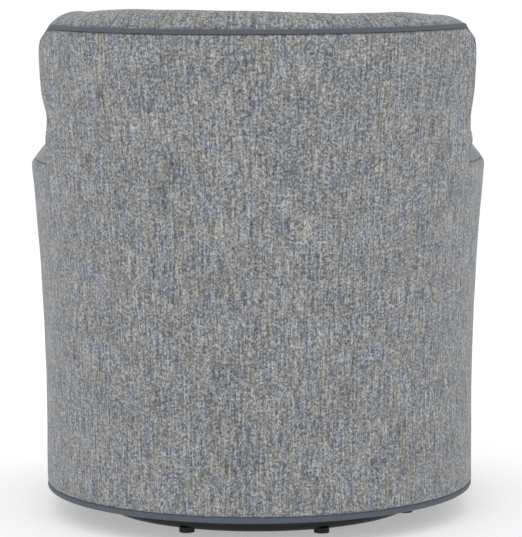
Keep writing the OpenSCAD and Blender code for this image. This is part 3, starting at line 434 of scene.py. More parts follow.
def shell(name, outer, inner, uv):
    """A closed solid between two grids of one size: the outer grid, the inner grid turned round, and a
    strip along their four edges."""
    ni, nj = outer.shape[:2]
    count = ni * nj
    points = np.concatenate([outer.reshape(-1, 3), inner.reshape(-1, 3)])
    top = quads(ni, nj)[0]
    i, j = np.arange(ni - 1), np.arange(nj - 1)
    ring = np.concatenate([i * nj, count - nj + j, count - 1 - nj * i, nj - 1 - j])
    after = np.roll(ring, -1)
    strip = np.stack([after, ring, ring + count, after + count], 1)
    faces = [top, top[:, ::-1] + count, strip]
    if not away_from(points, top, points[top + count].mean(1)):
        faces = [f[:, ::-1] for f in faces]
    flat = uv.reshape(-1, 2)
    return put_mesh(name, points, faces, np.concatenate([flat[f.ravel() % count] for f in faces]))


def tube(name, rings, uv, closed):
    """A round tube through a grid of rings, closed on itself or with domed caps. uv has one more column
    than the grid, and one more row where the tube is closed."""
    ni, nj = rings.shape[:2]
    points, centre = rings.reshape(-1, 3), rings.mean(1)
    side, i, j = quads(ni, nj, close_i=closed, close_j=True)
    faces, grain = [side], [uv[i, j]]
    outwards = away_from(points, side, centre[i[:, 0] % ni])
    if not closed:
        points = np.concatenate([points, centre[[0, -1]]])
        here = np.arange(nj)
        after, last = (here + 1) % nj, (ni - 1) * nj
        low = np.stack([after, here, np.full(nj, ni * nj)], 1)
        high = np.stack([last + here, last + after, np.full(nj, ni * nj + 1)], 1)
        faces.append(np.concatenate([low, high]))
        grain.append(np.tile(uv[0, 0], (2 * nj, 3, 1)))
    if not outwards:
        faces, grain = [f[:, ::-1] for f in faces], [g[:, ::-1] for g in grain]
    return put_mesh(name, points, faces, np.concatenate([g.reshape(-1, 2) for g in grain]))


def loop_run(path):
    """Length run along a closed path at each of its points and, last, once round."""
    steps = np.linalg.norm(np.diff(path, axis=0, append=path[:1]), axis=1)
    return np.concatenate([[0], np.cumsum(steps)])


def row_run(*parts):
    """Length run along each row of a grid whose coordinates are the parts."""
    steps = np.sqrt(sum(np.diff(part, axis=1) ** 2 for part in parts))
    return np.pad(np.cumsum(steps, 1), ((0, 0), (1, 0)))


def cord_grain(run, radius, sides):
    """The cloth's coordinates on a cord: the length run along it, and the way round it."""
    around = np.arange(sides + 1) * math.tau * radius / sides
    return np.stack(np.meshgrid(run, around, indexing="ij"), -1)


def round_tube(name, path, radius, sides, closed=False, up=(0, 0, 1)):
    """A tube of even radius along a path: each ring is square to the path's run and starts towards up."""
    if closed:
        run = np.roll(path, -1, 0) - np.roll(path, 1, 0)
    else:
        run = np.gradient(path, axis=0)
    run = run / np.linalg.norm(run, axis=1)[:, None]
    across = np.cross(np.broadcast_to(np.asarray(up, float), run.shape), run)
    across /= np.linalg.norm(across, axis=1)[:, None]
    rise = np.cross(run, across)
    a = (np.arange(sides) * math.tau / sides)[None, :, None]
    rings = path[:, None] + radius * (np.cos(a) * across[:, None] + np.sin(a) * rise[:, None])
    return tube(name, rings, cord_grain(loop_run(path), radius, sides), closed)


def dress(obj, material, slot, body, *nodes):
    """Gives a piece its material, lets it ride on a body and stand for the solids it replaces. The slot is
    not used."""
    obj.data.materials.append(material)
    if body:
        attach(obj, body)
    if nodes:
        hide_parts(*nodes)
    return obj


# Finishes


# The settings of a mix in which one colour tints the other
TINT = {"data_type": "RGBA", "blend_type": "MULTIPLY"}


def fill(node, *values, **named):
    """Fills a node's sockets in their order and by their names, with values or with links from sockets.
    A node stands for its first live output, and a name in small letters is a setting of the node
    itself."""
    for key, value in named.items():
        if key[0].islower():
            setattr(node, key, value)
    inputs = {socket.identifier.replace(" ", "_"): socket for socket in node.inputs}
    given = dict(zip(inputs, values)) | {key: value for key, value in named.items() if key[0].isupper()}
    for key, value in given.items():
        if isinstance(value, bpy.types.Node):
            value = next(socket for socket in value.outputs if socket.enabled)
        if isinstance(value, bpy.types.NodeSocket):
            node.id_data.links.new(value, inputs[key])
        else:
            inputs[key].default_value = value
    return node


def add(tree, kind, *values, **named):
    """Adds a shader node and fills it."""
    return fill(tree.nodes.new("ShaderNode" + kind), *values, **named)


def blank(name, **sockets):
    """A new material with a principled shader, whose constant sockets are given by name."""
    material = bpy.data.materials.new(name)
    material.use_nodes = True
    skin = next(n for n in material.node_tree.nodes if n.type == "BSDF_PRINCIPLED")
    return material, material.node_tree, fill(skin, **sockets)


def shades(node, *stops):
    """Gives a colour ramp its stops, each with a place and a colour."""
    elements = node.color_ramp.elements
    elements.remove(elements[-1])
    for k, (place, colour) in enumerate(stops):
        element = elements[0] if k == 0 else elements.new(place)
        element.position = place
        element.color = (*colour[:3], 1.0)
    return node


def tweed():
    """Heathered tweed of thick and thin wool blend yarns: the eye sees upright slubs and flecks of
    slate, taupe and cream that close up to a mid grey with a blue cast. Matte, with a pale fuzz at
    grazing angles."""
    if "wool_blend_tweed" in bpy.data.materials:
        return bpy.data.materials["wool_blend_tweed"]
    look, flat = bpy.context.scene.rocker_cloth, {"noise_dimensions": "2D"}
    pitch = look.yarn_pitch
    material, tree, skin = blank(
        "wool_blend_tweed", Roughness=0.92, IOR=1.5, Specular_IOR_Level=0.25, Sheen_Weight=0.22,
        Sheen_Roughness=0.5, Sheen_Tint=linear("#dfe3ea"))
    uv = add(tree, "UVMap", uv_map="cloth")
    # The yarns wander by about half their pitch over 15 mm
    drift = add(tree, "TexNoise", uv, Scale=70.0, Detail=2.0, **flat).outputs["Color"]
    laid = add(tree, "VectorMath", drift, (0.0024, 0.0024, 0), uv, operation="MULTIPLY_ADD")
    place = add(tree, "SeparateXYZ", laid)
    warp = add(tree, "Math", place, pitch, operation="DIVIDE")
    yarn = add(tree, "Math", warp, operation="FLOOR")
    across = add(tree, "Math", warp, operation="FRACT")
    lag = add(tree, "TexWhiteNoise", W=yarn, noise_dimensions="1D")
    climb = add(tree, "Math", place.outputs["Y"], look.float_length, operation="DIVIDE")
    weft = add(tree, "Math", climb, lag, operation="ADD")
    row = add(tree, "Math", weft, operation="FLOOR")
    along = add(tree, "Math", weft, operation="FRACT")
    fleck = add(tree, "TexWhiteNoise", add(tree, "CombineXYZ", yarn, row), **flat)
    # Slubs: long thick places along the warp
    slub_place = add(tree, "Mapping", laid, Scale=(1 / pitch, 1 / look.streak_length, 1))
    slub = add(tree, "TexNoise", slub_place, Scale=0.55, Detail=1.0, **flat)
    # Broader patches, about 90 mm, where one shade gathers
    patch = add(tree, "TexNoise", laid, Scale=11.0, Detail=2.0, **flat)
    # Weft floats: short dashes across, where the weft comes to the face
    weft_place = add(tree, "Mapping", laid, Scale=(0.4 / pitch, 0.8 / pitch, 1))
    dash = add(tree, "TexWhiteNoise", add(tree, "VectorMath", weft_place, operation="FLOOR"), **flat)
    # The tone is a weighted sum of the four, set back so that its mean falls among the middle yarns
    tone = -0.28
    for pattern, weight in ((fleck, 0.5), (dash, 0.28), (slub, 0.62), (patch, 0.16)):
        tone = add(tree, "Math", pattern, weight, tone, operation="MULTIPLY_ADD")
    cool = shades(add(tree, "ValToRGB", tone), (0.0, look.dark_yarn), (0.42, look.blue_yarn),
                  (0.62, linear("#8e9197")), (1.0, linear("#bbbdc2")))
    warm = shades(add(tree, "ValToRGB", tone), (0.0, linear("#454543")), (0.42, look.taupe_yarn),
                  (0.66, linear("#999995")), (1.0, look.pale_yarn))
    # Which dye a float has: patches 12 mm wide and 20 mm tall, and a little chance of its own
    dye_place = add(tree, "Mapping", laid, Scale=(42.0, 24.0, 1))
    dyed = add(tree, "TexNoise", dye_place, Scale=1.0, Detail=2.0, **flat)
    chance = add(tree, "SeparateColor", fleck.outputs["Color"]).outputs["Green"]
    push = add(tree, "Math", chance, 0.2, -0.1, operation="MULTIPLY_ADD")
    lean = add(tree, "Math", dyed, push, operation="ADD")
    side = add(tree, "MapRange", lean, From_Min=0.36, From_Max=0.6)
    colour = add(tree, "Mix", side, A_Color=cool, B_Color=warm, data_type="RGBA")
    # Each float stands up round between its neighbours
    ridge_x = add(tree, "Math", across, 0.5, operation="PINGPONG")
    ridge_y = add(tree, "Math", along, 0.5, operation="PINGPONG")
    ridge = add(tree, "Math", ridge_x, ridge_y, operation="MULTIPLY")
    height = add(tree, "Math", ridge, 2.0, slub, operation="MULTIPLY_ADD")
    bump = add(tree, "Bump", Height=height, Strength=0.6, Distance=0.9 * MM)
    fill(skin, Base_Color=colour, Normal=bump)
    return material


def welt_cloth():
    """Slate blue duck cut on the bias over a cord: fine slanted ribs, about 1.2 mm apart here so that
    they show, and matte."""
    if "slate_bias_duck" in bpy.data.materials:
        return bpy.data.materials["slate_bias_duck"]
    slate = (*bpy.context.scene.rocker_cloth.welt_yarn, 1.0)
    material, tree, skin = blank(
        "slate_bias_duck", Roughness=0.85, IOR=1.5, Specular_IOR_Level=0.3, Sheen_Weight=0.1,
        Sheen_Roughness=0.5)
    uv = add(tree, "UVMap", uv_map="cloth")
    place = add(tree, "SeparateXYZ", uv)
    lean = add(tree, "Math", place, place.outputs["Y"], operation="ADD")
    ribs = add(tree, "Math", lean, 1.2 * MM, operation="DIVIDE")
    rib = add(tree, "Math", ribs, 0.5, operation="PINGPONG")
    blot = add(tree, "TexNoise", uv, Scale=260.0, Detail=3.0, noise_dimensions="2D")
    tone = add(tree, "Math", rib, 0.5, blot, operation="MULTIPLY_ADD")
    shade = add(tree, "MapRange", tone, From_Min=0.2, From_Max=1.1, To_Min=0.72, To_Max=1.2)
    colour = add(tree, "Mix", 1.0, A_Color=slate, B_Color=shade, **TINT)
    bump = add(tree, "Bump", Height=tone, Strength=0.5, Distance=0.3 * MM)
    fill(skin, Base_Color=colour, Normal=bump)
    return material


def speckled(name, code, spread_share, grain_mm, roughness, bump_mm, metallic=0.0, **sockets):
    """A moulded, coated, felted or cast surface: one colour that varies by a share, over grains of a
    real size, with that grain in its roughness and height."""
    if name in bpy.data.materials:
        return bpy.data.materials[name]
    material, tree, skin = blank(name, Metallic=metallic, **sockets)
    place = add(tree, "TexCoord").outputs["Object"]
    fine = add(tree, "TexNoise", place, Scale=1000 / (2 * grain_mm), Detail=3.0)
    broad = add(tree, "TexNoise", place, Scale=14.0, Detail=2.0)
    both = add(tree, "Math", fine, broad, operation="ADD")
    span = {"From_Min": 0.7, "From_Max": 1.3}
    shade = add(tree, "MapRange", both, To_Min=1 - spread_share, To_Max=1 + spread_share, **span)
    colour = add(tree, "Mix", 1.0, A_Color=linear(code), B_Color=shade, **TINT)
    rough = add(tree, "MapRange", both, To_Min=roughness * 0.85, To_Max=min(1.0, roughness * 1.15), **span)
    bump = add(tree, "Bump", Height=fine, Strength=0.5, Distance=bump_mm * MM)
    fill(skin, Base_Color=colour, Roughness=rough, Normal=bump)
    return material


def black_coat():
    """Powder coated steel tube, black: a fine orange peel and a soft gloss."""
    return speckled("black_powder_coat", "#141518", 0.12, 1.2, 0.42, 0.08, IOR=1.5)


def head_coat():
    """Electrocoated sheet steel of the rocker head: near black and satin."""
    return speckled("black_electrocoat", "#222428", 0.15, 2.0, 0.5, 0.04, IOR=1.5)


def glide_nylon():
    """Moulded black nylon of the glides, dulled where it slides."""
    return speckled("moulded_nylon", "#101011", 0.15, 0.8, 0.6, 0.05, IOR=1.53)


def acetal():
    """Moulded acetal of the pivot bushes: milky white, waxy and smooth."""
    return speckled("moulded_acetal", "#d9d7d0", 0.03, 1.0, 0.4, 0.01, IOR=1.48, Subsurface_Weight=0.05)


def stop_rubber():
    """Moulded black rubber of the bump stops, with a grey bloom."""
    return speckled("moulded_rubber", "#1a1a1b", 0.25, 3.0, 0.8, 0.06, IOR=1.52)


def zinc_plate():
    """Bright zinc plate on turned steel: bluish grey with a faint spangle."""
    return speckled("zinc_plated_steel", "#a9adb2", 0.08, 2.5, 0.32, 0.01, metallic=1.0)


def spring_wire():
    """Oil tempered spring wire: dark grey brown scale with a dull shine."""
    return speckled("oil_tempered_wire", "#4a4846", 0.2, 1.5, 0.42, 0.02, metallic=0.9)


def cage_brass():
    """Stamped brass of the ball cage, rolled and a little dulled."""
    return speckled("stamped_brass", "#b8995a", 0.08, 1.5, 0.35, 0.01, metallic=1.0)


def ball_steel():
    """Hardened and polished bearing steel: it mirrors its surroundings, with a trace of unevenness."""
    return speckled("bearing_steel", "#c9ccd0", 0.03, 4.0, 0.1, 0.002, metallic=1.0)


def fibre_board():
    """Pressed fibre board that lines the barrel: brown, hairy and dull."""
    return speckled("pressed_fibre_board", "#8f7a5c", 0.2, 1.6, 0.95, 0.25, IOR=1.45)


def dust_cloth():
    """Black spunbonded dust cloth: a thin felt of fused threads, dull and slightly mottled."""
    return speckled("spunbonded_cloth", "#161618", 0.25, 1.2, 0.9, 0.12, IOR=1.45, Sheen_Weight=0.15)


def deck_duck():
    """Charcoal cotton duck over the seat's deck: close and dull, with a grain of 1 mm."""
    return speckled("cotton_duck", "#3c3e42", 0.2, 1.0, 0.92, 0.15, IOR=1.45, Sheen_Weight=0.2)


def drawn_out(axis, across, along):
    """Scales of a pattern that is drawn out along one axis."""
    return [along if k == axis else across for k in range(3)]


def wood(name, axis, pale, dark):
    """Planed wood with its grain along one axis: rings 4 mm apart, drawn out forty times along the
    grain, with pores as fine dark dashes."""
    if name in bpy.data.materials:
        return bpy.data.materials[name]
    material, tree, skin = blank(name, IOR=1.5, Specular_IOR_Level=0.35)
    place = add(tree, "TexCoord").outputs["Object"]
    grain_place = add(tree, "Mapping", place, Scale=drawn_out(axis, 250.0, 6.0))
    grain = add(tree, "TexNoise", grain_place, Scale=0.5, Detail=4.0, Distortion=0.6)
    pore_place = add(tree, "Mapping", place, Scale=drawn_out(axis, 1400.0, 90.0))
    pore = add(tree, "TexNoise", pore_place, Scale=0.5, Detail=1.0)
    tone = add(tree, "Math", pore, 0.3, grain, operation="MULTIPLY_ADD")
    pale, dark = linear(pale), linear(dark)
    colour = shades(add(tree, "ValToRGB", tone), (0.4, dark), (0.62, pale), (0.8, pale), (0.95, dark))
    rough = add(tree, "MapRange", pore, To_Min=0.55, To_Max=0.8)
    bump = add(tree, "Bump", Height=tone, Strength=0.35, Distance=0.4 * MM)
    fill(skin, Base_Color=colour, Roughness=rough, Normal=bump)
    return material


def plywood():
    """Birch plywood cut to a curve: its edge shows veneers 1.5 mm thick, laid crosswise, pale and tan
    by turns."""
    name = "birch_plywood"
    if name in bpy.data.materials:
        return bpy.data.materials[name]
    material, tree, skin = blank(name, Roughness=0.7, IOR=1.5, Specular_IOR_Level=0.35)
    place = add(tree, "TexCoord").outputs["Object"]
    height = add(tree, "SeparateXYZ", place).outputs["Z"]
    pairs = add(tree, "Math", height, 3 * MM, operation="DIVIDE")
    turn = add(tree, "Math", add(tree, "Math", pairs, operation="FRACT"), 0.5, operation="GREATER_THAN")
    fleck_place = add(tree, "Mapping", place, Scale=(60.0, 60.0, 900.0))
    fleck = add(tree, "TexNoise", fleck_place, Scale=1.0, Detail=3.0)
    pale = shades(add(tree, "ValToRGB", fleck), (0.3, linear("#b8935f")), (0.6, linear("#d3b485")))
    tan = shades(add(tree, "ValToRGB", fleck), (0.3, linear("#916f45")), (0.6, linear("#b0895a")))
    colour = add(tree, "Mix", turn, A_Color=pale, B_Color=tan, data_type="RGBA")
    bump = add(tree, "Bump", Height=fleck, Strength=0.3, Distance=0.3 * MM)
    fill(skin, Base_Color=colour, Normal=bump)
    return material


def beech(axis):
    """Planed beech, pinkish tan, with its grain along an axis."""
    return wood("planed_beech_along_" + "xyz"[axis], axis, "#c9a47a", "#a27c53")


def pine(axis):
    """Sawn pine, yellow tan, with its grain along an axis."""
    return wood("sawn_pine_along_" + "xyz"[axis], axis, "#d6b684", "#b58a55")


# Covers of the back


def over(half, middle, sign=1):
    """A column of values up one side, given in parts, over the middle and, in reverse, down the other
    side."""
    half = np.concatenate(half)
    return np.concatenate([half, middle, sign * half[::-1]])[:, None]


def back_layer(edge, low, count_across, count_up):
    """A grid over the back, as arcs and heights, whose rim lies outside the back's by edge. The
    columns' tops follow two quarter circles and the straight top between them, and the rows crowd at
    the bottom and the top."""
    b = barrel()
    radius, base, high = b.corner + edge, wing_arc() - b.corner, b.back_top - b.corner
    a = np.linspace(math.pi / 2, 0, 19)
    flat = np.linspace(base, -base, count_across)[1:-1]
    arcs = over([base + radius * np.sin(a)], flat, -1)
    tops = over([high + radius * np.cos(a)], np.full(len(flat), high + radius))
    near = np.array([0, *EDGE_STEPS])
    share = np.linspace(0, 1, count_up)[1:-1]
    middle = (low + near[-1]) * (1 - share) + (tops - near[-1]) * share
    z = np.concatenate([np.tile(low + near, (len(tops), 1)), middle, tops - near[::-1]], 1)
    return np.repeat(arcs, z.shape[1], 1), z


def rim_distance(arc, z, edge):
    """Distance from the rim of a layer of the back, laid flat as a rectangle with rounded top corners."""
    b = barrel()
    radius, base, high = b.corner + edge, wing_arc() - b.corner, b.back_top - b.corner
    out, up = np.abs(arc) - base, z - high
    return np.where((out > 0) & (up > 0), radius - np.hypot(out, up), radius - np.maximum(out, up))


def panel_low():
    """Height of the covers' lower edge, which rests on the foot welt 30 degrees from its top."""
    thick = goods().foot_welt
    return barrel().skirt + thick + thick * math.cos(math.pi / 6) + GAP


def outside_back():
    """The cover of the back: its depth is that of its rolled edges, 0.8 mm down the sides, 4 mm along
    the top and 7 mm at the top corners, less a slow unevenness, over a wadding 8 mm thick."""
    b, low, edge, wadding = barrel(), panel_low(), -goods().welt - GAP, 8 * MM
    arc, z = back_layer(edge, low, count_across=172, count_up=150)
    side = rim_distance(arc, z, edge)
    above = smooth((z - b.back_top + b.corner) / (30 * MM))
    near = smooth((np.abs(arc) - wing_arc() + 70 * MM) / (40 * MM))
    roll = np.maximum(rolled(side, (0.8 + (3.2 + 3 * near) * above) * MM), rolled(z - low, 4 * MM))
    rise = 0.5 * MM * wavy(arc, z, 3) * smooth(side / (50 * MM)) + 0.35 * MM * puckers(arc, side, 4) * above
    rise = rise + 0.3 * MM * puckers(arc, z - low, 5)
    outer = arc_point(arc, z, roll - rise + wing_pull(arc, z))
    obj = shell("outside_back_cover", outer, arc_point(arc, z, wadding), np.stack([arc, z], -1))
    return dress(obj, tweed(), "tweed", "chair", "outside_back")


def rim(count_side, count_top):
    """Stations along the rim of the back, from the foot of one wing over the top to the other: their
    arcs and heights, out and rise as the outward direction there, drop as how far down the wing they
    lie, and run."""
    b = barrel()
    base, high = wing_arc() - b.corner, b.back_top - b.corner
    a = np.linspace(math.pi / 2, 0, 25)
    drop = 1 - np.linspace(0, 1, count_side)[:-1]
    flat = np.linspace(base, -base, count_top)[1:-1]
    wing, top = np.ones(len(drop)), np.ones(len(flat))
    line = SimpleNamespace(
        arc=over([wing * wing_arc(), base + b.corner * np.sin(a)], flat, -1),
        height=over([wing * high, high + b.corner * np.cos(a)], top * b.back_top),
        out=over([wing, np.sin(a)], 0 * top, -1),
        rise=over([0 * wing, np.cos(a)], top),
        drop=over([drop, 0 * a], 0 * top),
    )
    drawn = line.height - line.drop * (high - b.arm_top)
    line.run = row_run(line.arc.T, drawn.T).T
    return line


def rim_place(line, edge, foot):
    """Arc and height at a distance edge outside the rim. The wings' stations are spread between the top
    corners and the height foot."""
    high = barrel().back_top - barrel().corner
    return line.arc + line.out * edge, line.height + line.rise * edge - line.drop * (high - foot)


def rim_point(line, edge, depth, foot):
    """Points at a distance edge outside the rim and a depth below the outer surface."""
    arc, z = rim_place(line, edge, foot)
    return arc_point(arc, z, depth)


def boxing_profile(line, share):
    """The boxing's cross-section at every station, as distance outside the rim and depth. Along the top
    it is a half sine to the power 0.62 between two welts, whose crown is lower on the sitter's right
    and, by up to 7.5 mm more, towards the corners. On the wings it is a half sine that starts flush with
    the outer face, 4 mm inside the rim, so that the cover wraps the wing's edge."""
    b, g = barrel(), goods()
    top = smooth((line.rise - 0.55) / 0.4)
    side = line.arc / wing_arc()
    w0, w1 = 1.5 * MM + g.welt + 0.8 * MM, b.back_depth - 2 * MM - g.welt - GAP
    fuller = 4 * MM * np.tanh((side + 0.15) / 0.2) - 3 * MM
    crown = b.top_crown + fuller - 7.5 * MM * smooth((np.abs(side + 0.03) - 0.56) / 0.3)
    edge_top = 0.8 * MM + crown * np.sin(math.pi * share) ** 0.62
    deep_top = w0 + (w1 - w0) * share
    edge_wing = -4 * MM + 4.8 * MM * share + (b.wing_crown + 4 * MM) * np.sin(math.pi * share)
    deep_wing = w1 * share
    return edge_wing + (edge_top - edge_wing) * top, deep_wing + (deep_top - deep_wing) * top, top


def back_boxing():
    """The boxing of the back, on boxing_profile, with small gathers at both seams. Its two ends stand
    on the arms and are rolled under."""
    line = rim(count_side=60, count_top=172)
    run = line.run
    share = (1 - np.cos(np.linspace(0, math.pi, 49))) / 2
    edge, depth, top = boxing_profile(line, share)
    path = row_run(edge, depth)
    seam = np.minimum(path, path[:, -1:] - path)
    gathered = np.maximum(top, smooth(seam / (6 * MM)))
    edge = edge + 0.7 * MM * puckers(run, seam, 7) * gathered
    edge = edge + 0.8 * MM * wavy(run, path, 8) * smooth(seam / (30 * MM))
    edge = edge - rolled(np.minimum(run, run[-1] - run), 5 * MM)
    foot = arm_surface(np.clip(depth, 1 * MM, None)) + 0.3 * MM
    arc, z = rim_place(line, edge, foot)
    pull = wing_pull(arc, z) * (1 - smooth(depth / (30 * MM))) * (1 - top)
    outer = arc_point(arc, z, depth + pull)
    inner = rim_point(line, np.full_like(edge, 1 * MM - goods().welt), np.maximum(depth, 8.4 * MM), foot)
    uv = np.stack([np.broadcast_to(run, edge.shape) + 1.0, path], -1)
    obj = shell("back_boxing_cover", outer, inner, uv)
    return dress(obj, tweed(), "tweed", "chair", "back_boxing")


def inside_back():
    """The stuffed inside of the back: it swells with the third power across, softly above the cushion
    and with a square root below the top welt."""
    b, g = barrel(), goods()
    edge, low, backing = -g.welt - GAP, g.deck + GAP, 33.8 * MM
    arc, z = back_layer(edge, low, count_across=150, count_up=96)
    across = 1 - np.minimum(1, np.abs(arc) / wing_arc()) ** 3
    lift = smooth((z - low - g.cushion_height) / (90 * MM))
    fall = np.sqrt(np.clip((b.back_top - z) / (170 * MM), 0, 1))
    side = rim_distance(arc, z, edge)
    above = smooth((z - b.arm_top) / (20 * MM))
    depth = b.back_depth + b.back_swell * across * lift * fall - rolled(side, (1 + 6 * above) * MM)
    depth = depth + 0.9 * MM * wavy(arc, z, 11) * smooth(side / (50 * MM))
    depth = depth + 0.6 * MM * puckers(arc, side, 12) * above
    outer, inner = arc_point(arc, z, depth), arc_point(arc, z, backing)
    obj = shell("inside_back_cushion", outer, inner, np.stack([arc + 2.0, z], -1))
    return dress(obj, tweed(), "tweed", "chair", "inside_back")


def rim_cord(name, line, edge, depth, node):
    """A round cord whose centre runs at a distance edge outside the rim and at a depth. Its ends stand
    on the arms."""
    radius, sides = goods().welt, 16
    a = np.arange(sides) * math.tau / sides
    foot = arm_surface(np.clip(depth - 4 * MM, 1 * MM, None)) - 0.6 * MM
    rings = rim_point(line, edge + radius * np.sin(a), depth + radius * np.cos(a), foot)
    obj = tube(name, rings, cord_grain(line.run, radius, sides), False)
    return dress(obj, welt_cloth(), "welt_cloth", "chair", node)


def back_welt():
    """The welt between the outside back and the boxing: a round cord on the outer face along the top.
    At the corners it sinks 8 mm between the two covers, dives under the wing's rounded edge to where
    the boxing's share is 0.3, and runs down there to the arms."""
    line = rim(count_side=70, count_top=230)
    dive = smooth((0.78 - line.rise) / 0.5)
    edge, depth = boxing_profile(line, 0.3 * dive)[:2]
    sunk = smooth((np.abs(line.arc) - wing_arc() + 60 * MM) / (40 * MM)) * (1 - dive)
    edge = edge - (0.8 * (1 - dive) + 1.4 * dive + sunk) * MM
    depth = depth + (8 * sunk - 4.8 * (1 - dive)) * MM
    return rim_cord("back_welt_cord", line, edge, depth, "back_welt")


def inside_back_welt():
    """The welt between the boxing and the inside back."""
    line = rim(count_side=60, count_top=230)
    depth = np.full_like(line.run, barrel().back_depth - 2 * MM)
    return rim_cord("inside_back_welt_cord", line, 0 * depth, depth, "inside_back_welt")


# Covers of the arms and the front


def arm_stations():
    """Stations along the arm, crowded at its two ends."""
    rear = stations(-1, 0, 34, [e / ARM_REAR for e in EDGE_STEPS[:4]])
    fore = stations(0, 1, 66, [e / barrel().arm_front for e in EDGE_STEPS])
    return np.concatenate([rear[rear < -1e-6], fore])


def mirrored(points, side):
    """The points, or for the left arm their mirror image."""
    return points * np.array([-1.0, 1, 1]) if side == "left" else points


def outside_arm(side):
    """The cover of an arm's outer side: it follows the barrel, turns in over the shoulder on a quarter
    circle and is tucked into the crease under the arm's top roll, which opens by 2.6 mm towards the
    back."""
    b, low, wadding = barrel(), panel_low(), 10.6 * MM
    top = b.arm_seam - 0.2 * MM
    seed, start = {"left": (21, 5.0), "right": (22, 7.0)}[side]
    s, z = np.meshgrid(arm_stations(), stations(low, top, 100, EDGE_STEPS), indexing="ij")
    tight = smooth((0.45 - s) / 0.6)
    z = z - 2.6 * MM * tight * (z - low) / (top - low)
    top = top - 2.6 * MM * tight
    run, rear, fore = arm_run(s), (s + 1) * ARM_REAR, (1 - s) * b.arm_front
    ends = np.maximum(rolled(rear, 0.8 * MM), rolled(fore, 3 * MM))
    hems = np.maximum(rolled(z - low, 4 * MM), rolled(top - z, (2.6 + 4 * tight) * MM))
    rise = 0.5 * MM * wavy(run, z, seed) * smooth(np.minimum(rear, fore) / (50 * MM))
    rise = rise + 0.5 * MM * puckers(run, top - z, seed + 2) * smooth((top - z) / (4 * MM))
    rise = rise + 0.3 * MM * puckers(run, z - low, seed + 4)
    outer = mirrored(arm_point(s, z, shoulder(z) + np.maximum(ends, hems) - rise), side)
    inner = mirrored(arm_point(s, z, wadding), side)
    obj = shell("outside_arm_cover_" + side, outer, inner, np.stack([run + start, z], -1))
    return dress(obj, tweed(), "tweed", "chair", "outside_arm_" + side)


def arm_profile(s, inset):
    """The arm's outline at each station, as depth below the outer surface and height, drawn in by
    inset: from the crease over the outer quarter circle, the flat top and the inner quarter circle down
    to the deck."""
    b = barrel()
    outer, inner = b.arm_outer, b.arm_inner
    turn_out, flat, turn_in, face = np.split(inset, np.cumsum([TURN_POINTS, FLAT_POINTS, TURN_POINTS]), 1)
    lift = math.asin((b.arm_seam + 0.2 * MM - b.arm_top + outer) / outer)
    a = np.linspace(lift, math.pi / 2, TURN_POINTS)
    z1 = b.arm_top - outer + (outer - turn_out) * np.sin(a)
    d1 = outer - (outer - turn_out) * np.cos(a)
    c = np.linspace(0, math.pi / 2, TURN_POINTS)
    z3 = b.arm_top - inner + (inner - turn_in) * np.cos(c)
    d3 = arm_thickness(s, z3) - inner + (inner - turn_in) * np.sin(c)
    t = np.linspace(0, 1, FLAT_POINTS + 2)[1:-1]
    z2 = b.arm_top - flat
    d2 = d1[:, -1:] + (d3[:, :1] - d1[:, -1:]) * t
    f = np.linspace(0, 1, FACE_POINTS + 1)[1:]
    z4 = (b.arm_top - inner) * (1 - f) + (goods().deck + GAP) * f + 0 * s
    d4 = arm_thickness(s, z4) - face
    return np.concatenate([d1, d2, d3, d4], 1), np.concatenate([z1, z2, z3, z4], 1)


def arm_pad(side):
    """The stuffed top and inside of an arm, on the outline of arm_profile carried from the back to the
    front. Its underside rises to the crease under the top roll."""
    b = barrel()
    seed, start = {"left": (31, 9.0), "right": (32, 11.0)}[side]
    s = arm_stations()[:, None]
    run = row_run(*arm_profile(s, np.zeros((len(s), OUTLINE_POINTS))))
    along, fore, rear = arm_run(s), (1 - s) * b.arm_front, (s + 1) * ARM_REAR
    ends = np.maximum(rolled(fore, 4.5 * MM), rolled(rear, 1.5 * MM))
    tight = smooth((0.6 - s) / 0.6)
    inset = np.maximum(rolled(run, 2.6 * MM), ends)
    inset = inset + 1.8 * MM * tight * (1 - smooth((run - 30 * MM) / (30 * MM)))
    inset = inset - 0.7 * MM * wavy(along, run, seed) * smooth(run / (30 * MM)) * smooth(fore / (40 * MM))
    inset = inset - 0.5 * MM * puckers(along, run, seed + 2) * smooth(run / (4 * MM))
    inset = inset - 0.5 * MM * puckers(run, fore, seed + 4) * smooth(fore / (4 * MM))
    depth, z = arm_profile(s, inset)
    backing = 33.4 * MM
    under = np.concatenate([np.linspace(11.4 * MM, backing, TOP_POINTS), np.full(FACE_POINTS, backing)])
    rest = b.arm_top - b.arm_outer + GAP
    rest = rest + (b.arm_seam - rest) * (1 - smooth(np.linspace(0, 15, OUTLINE_POINTS)))
    floor_z = np.where(np.arange(OUTLINE_POINTS) < TOP_POINTS, rest, z)
    outer, inner = mirrored(arm_point(s, z, depth), side), mirrored(arm_point(s, floor_z, under), side)
    uv = np.stack([np.broadcast_to(along + start, run.shape), -run], -1)
    obj = shell("arm_pad_cover_" + side, outer, inner, uv)
    return dress(obj, tweed(), "tweed", "chair", "arm_pad_" + side)


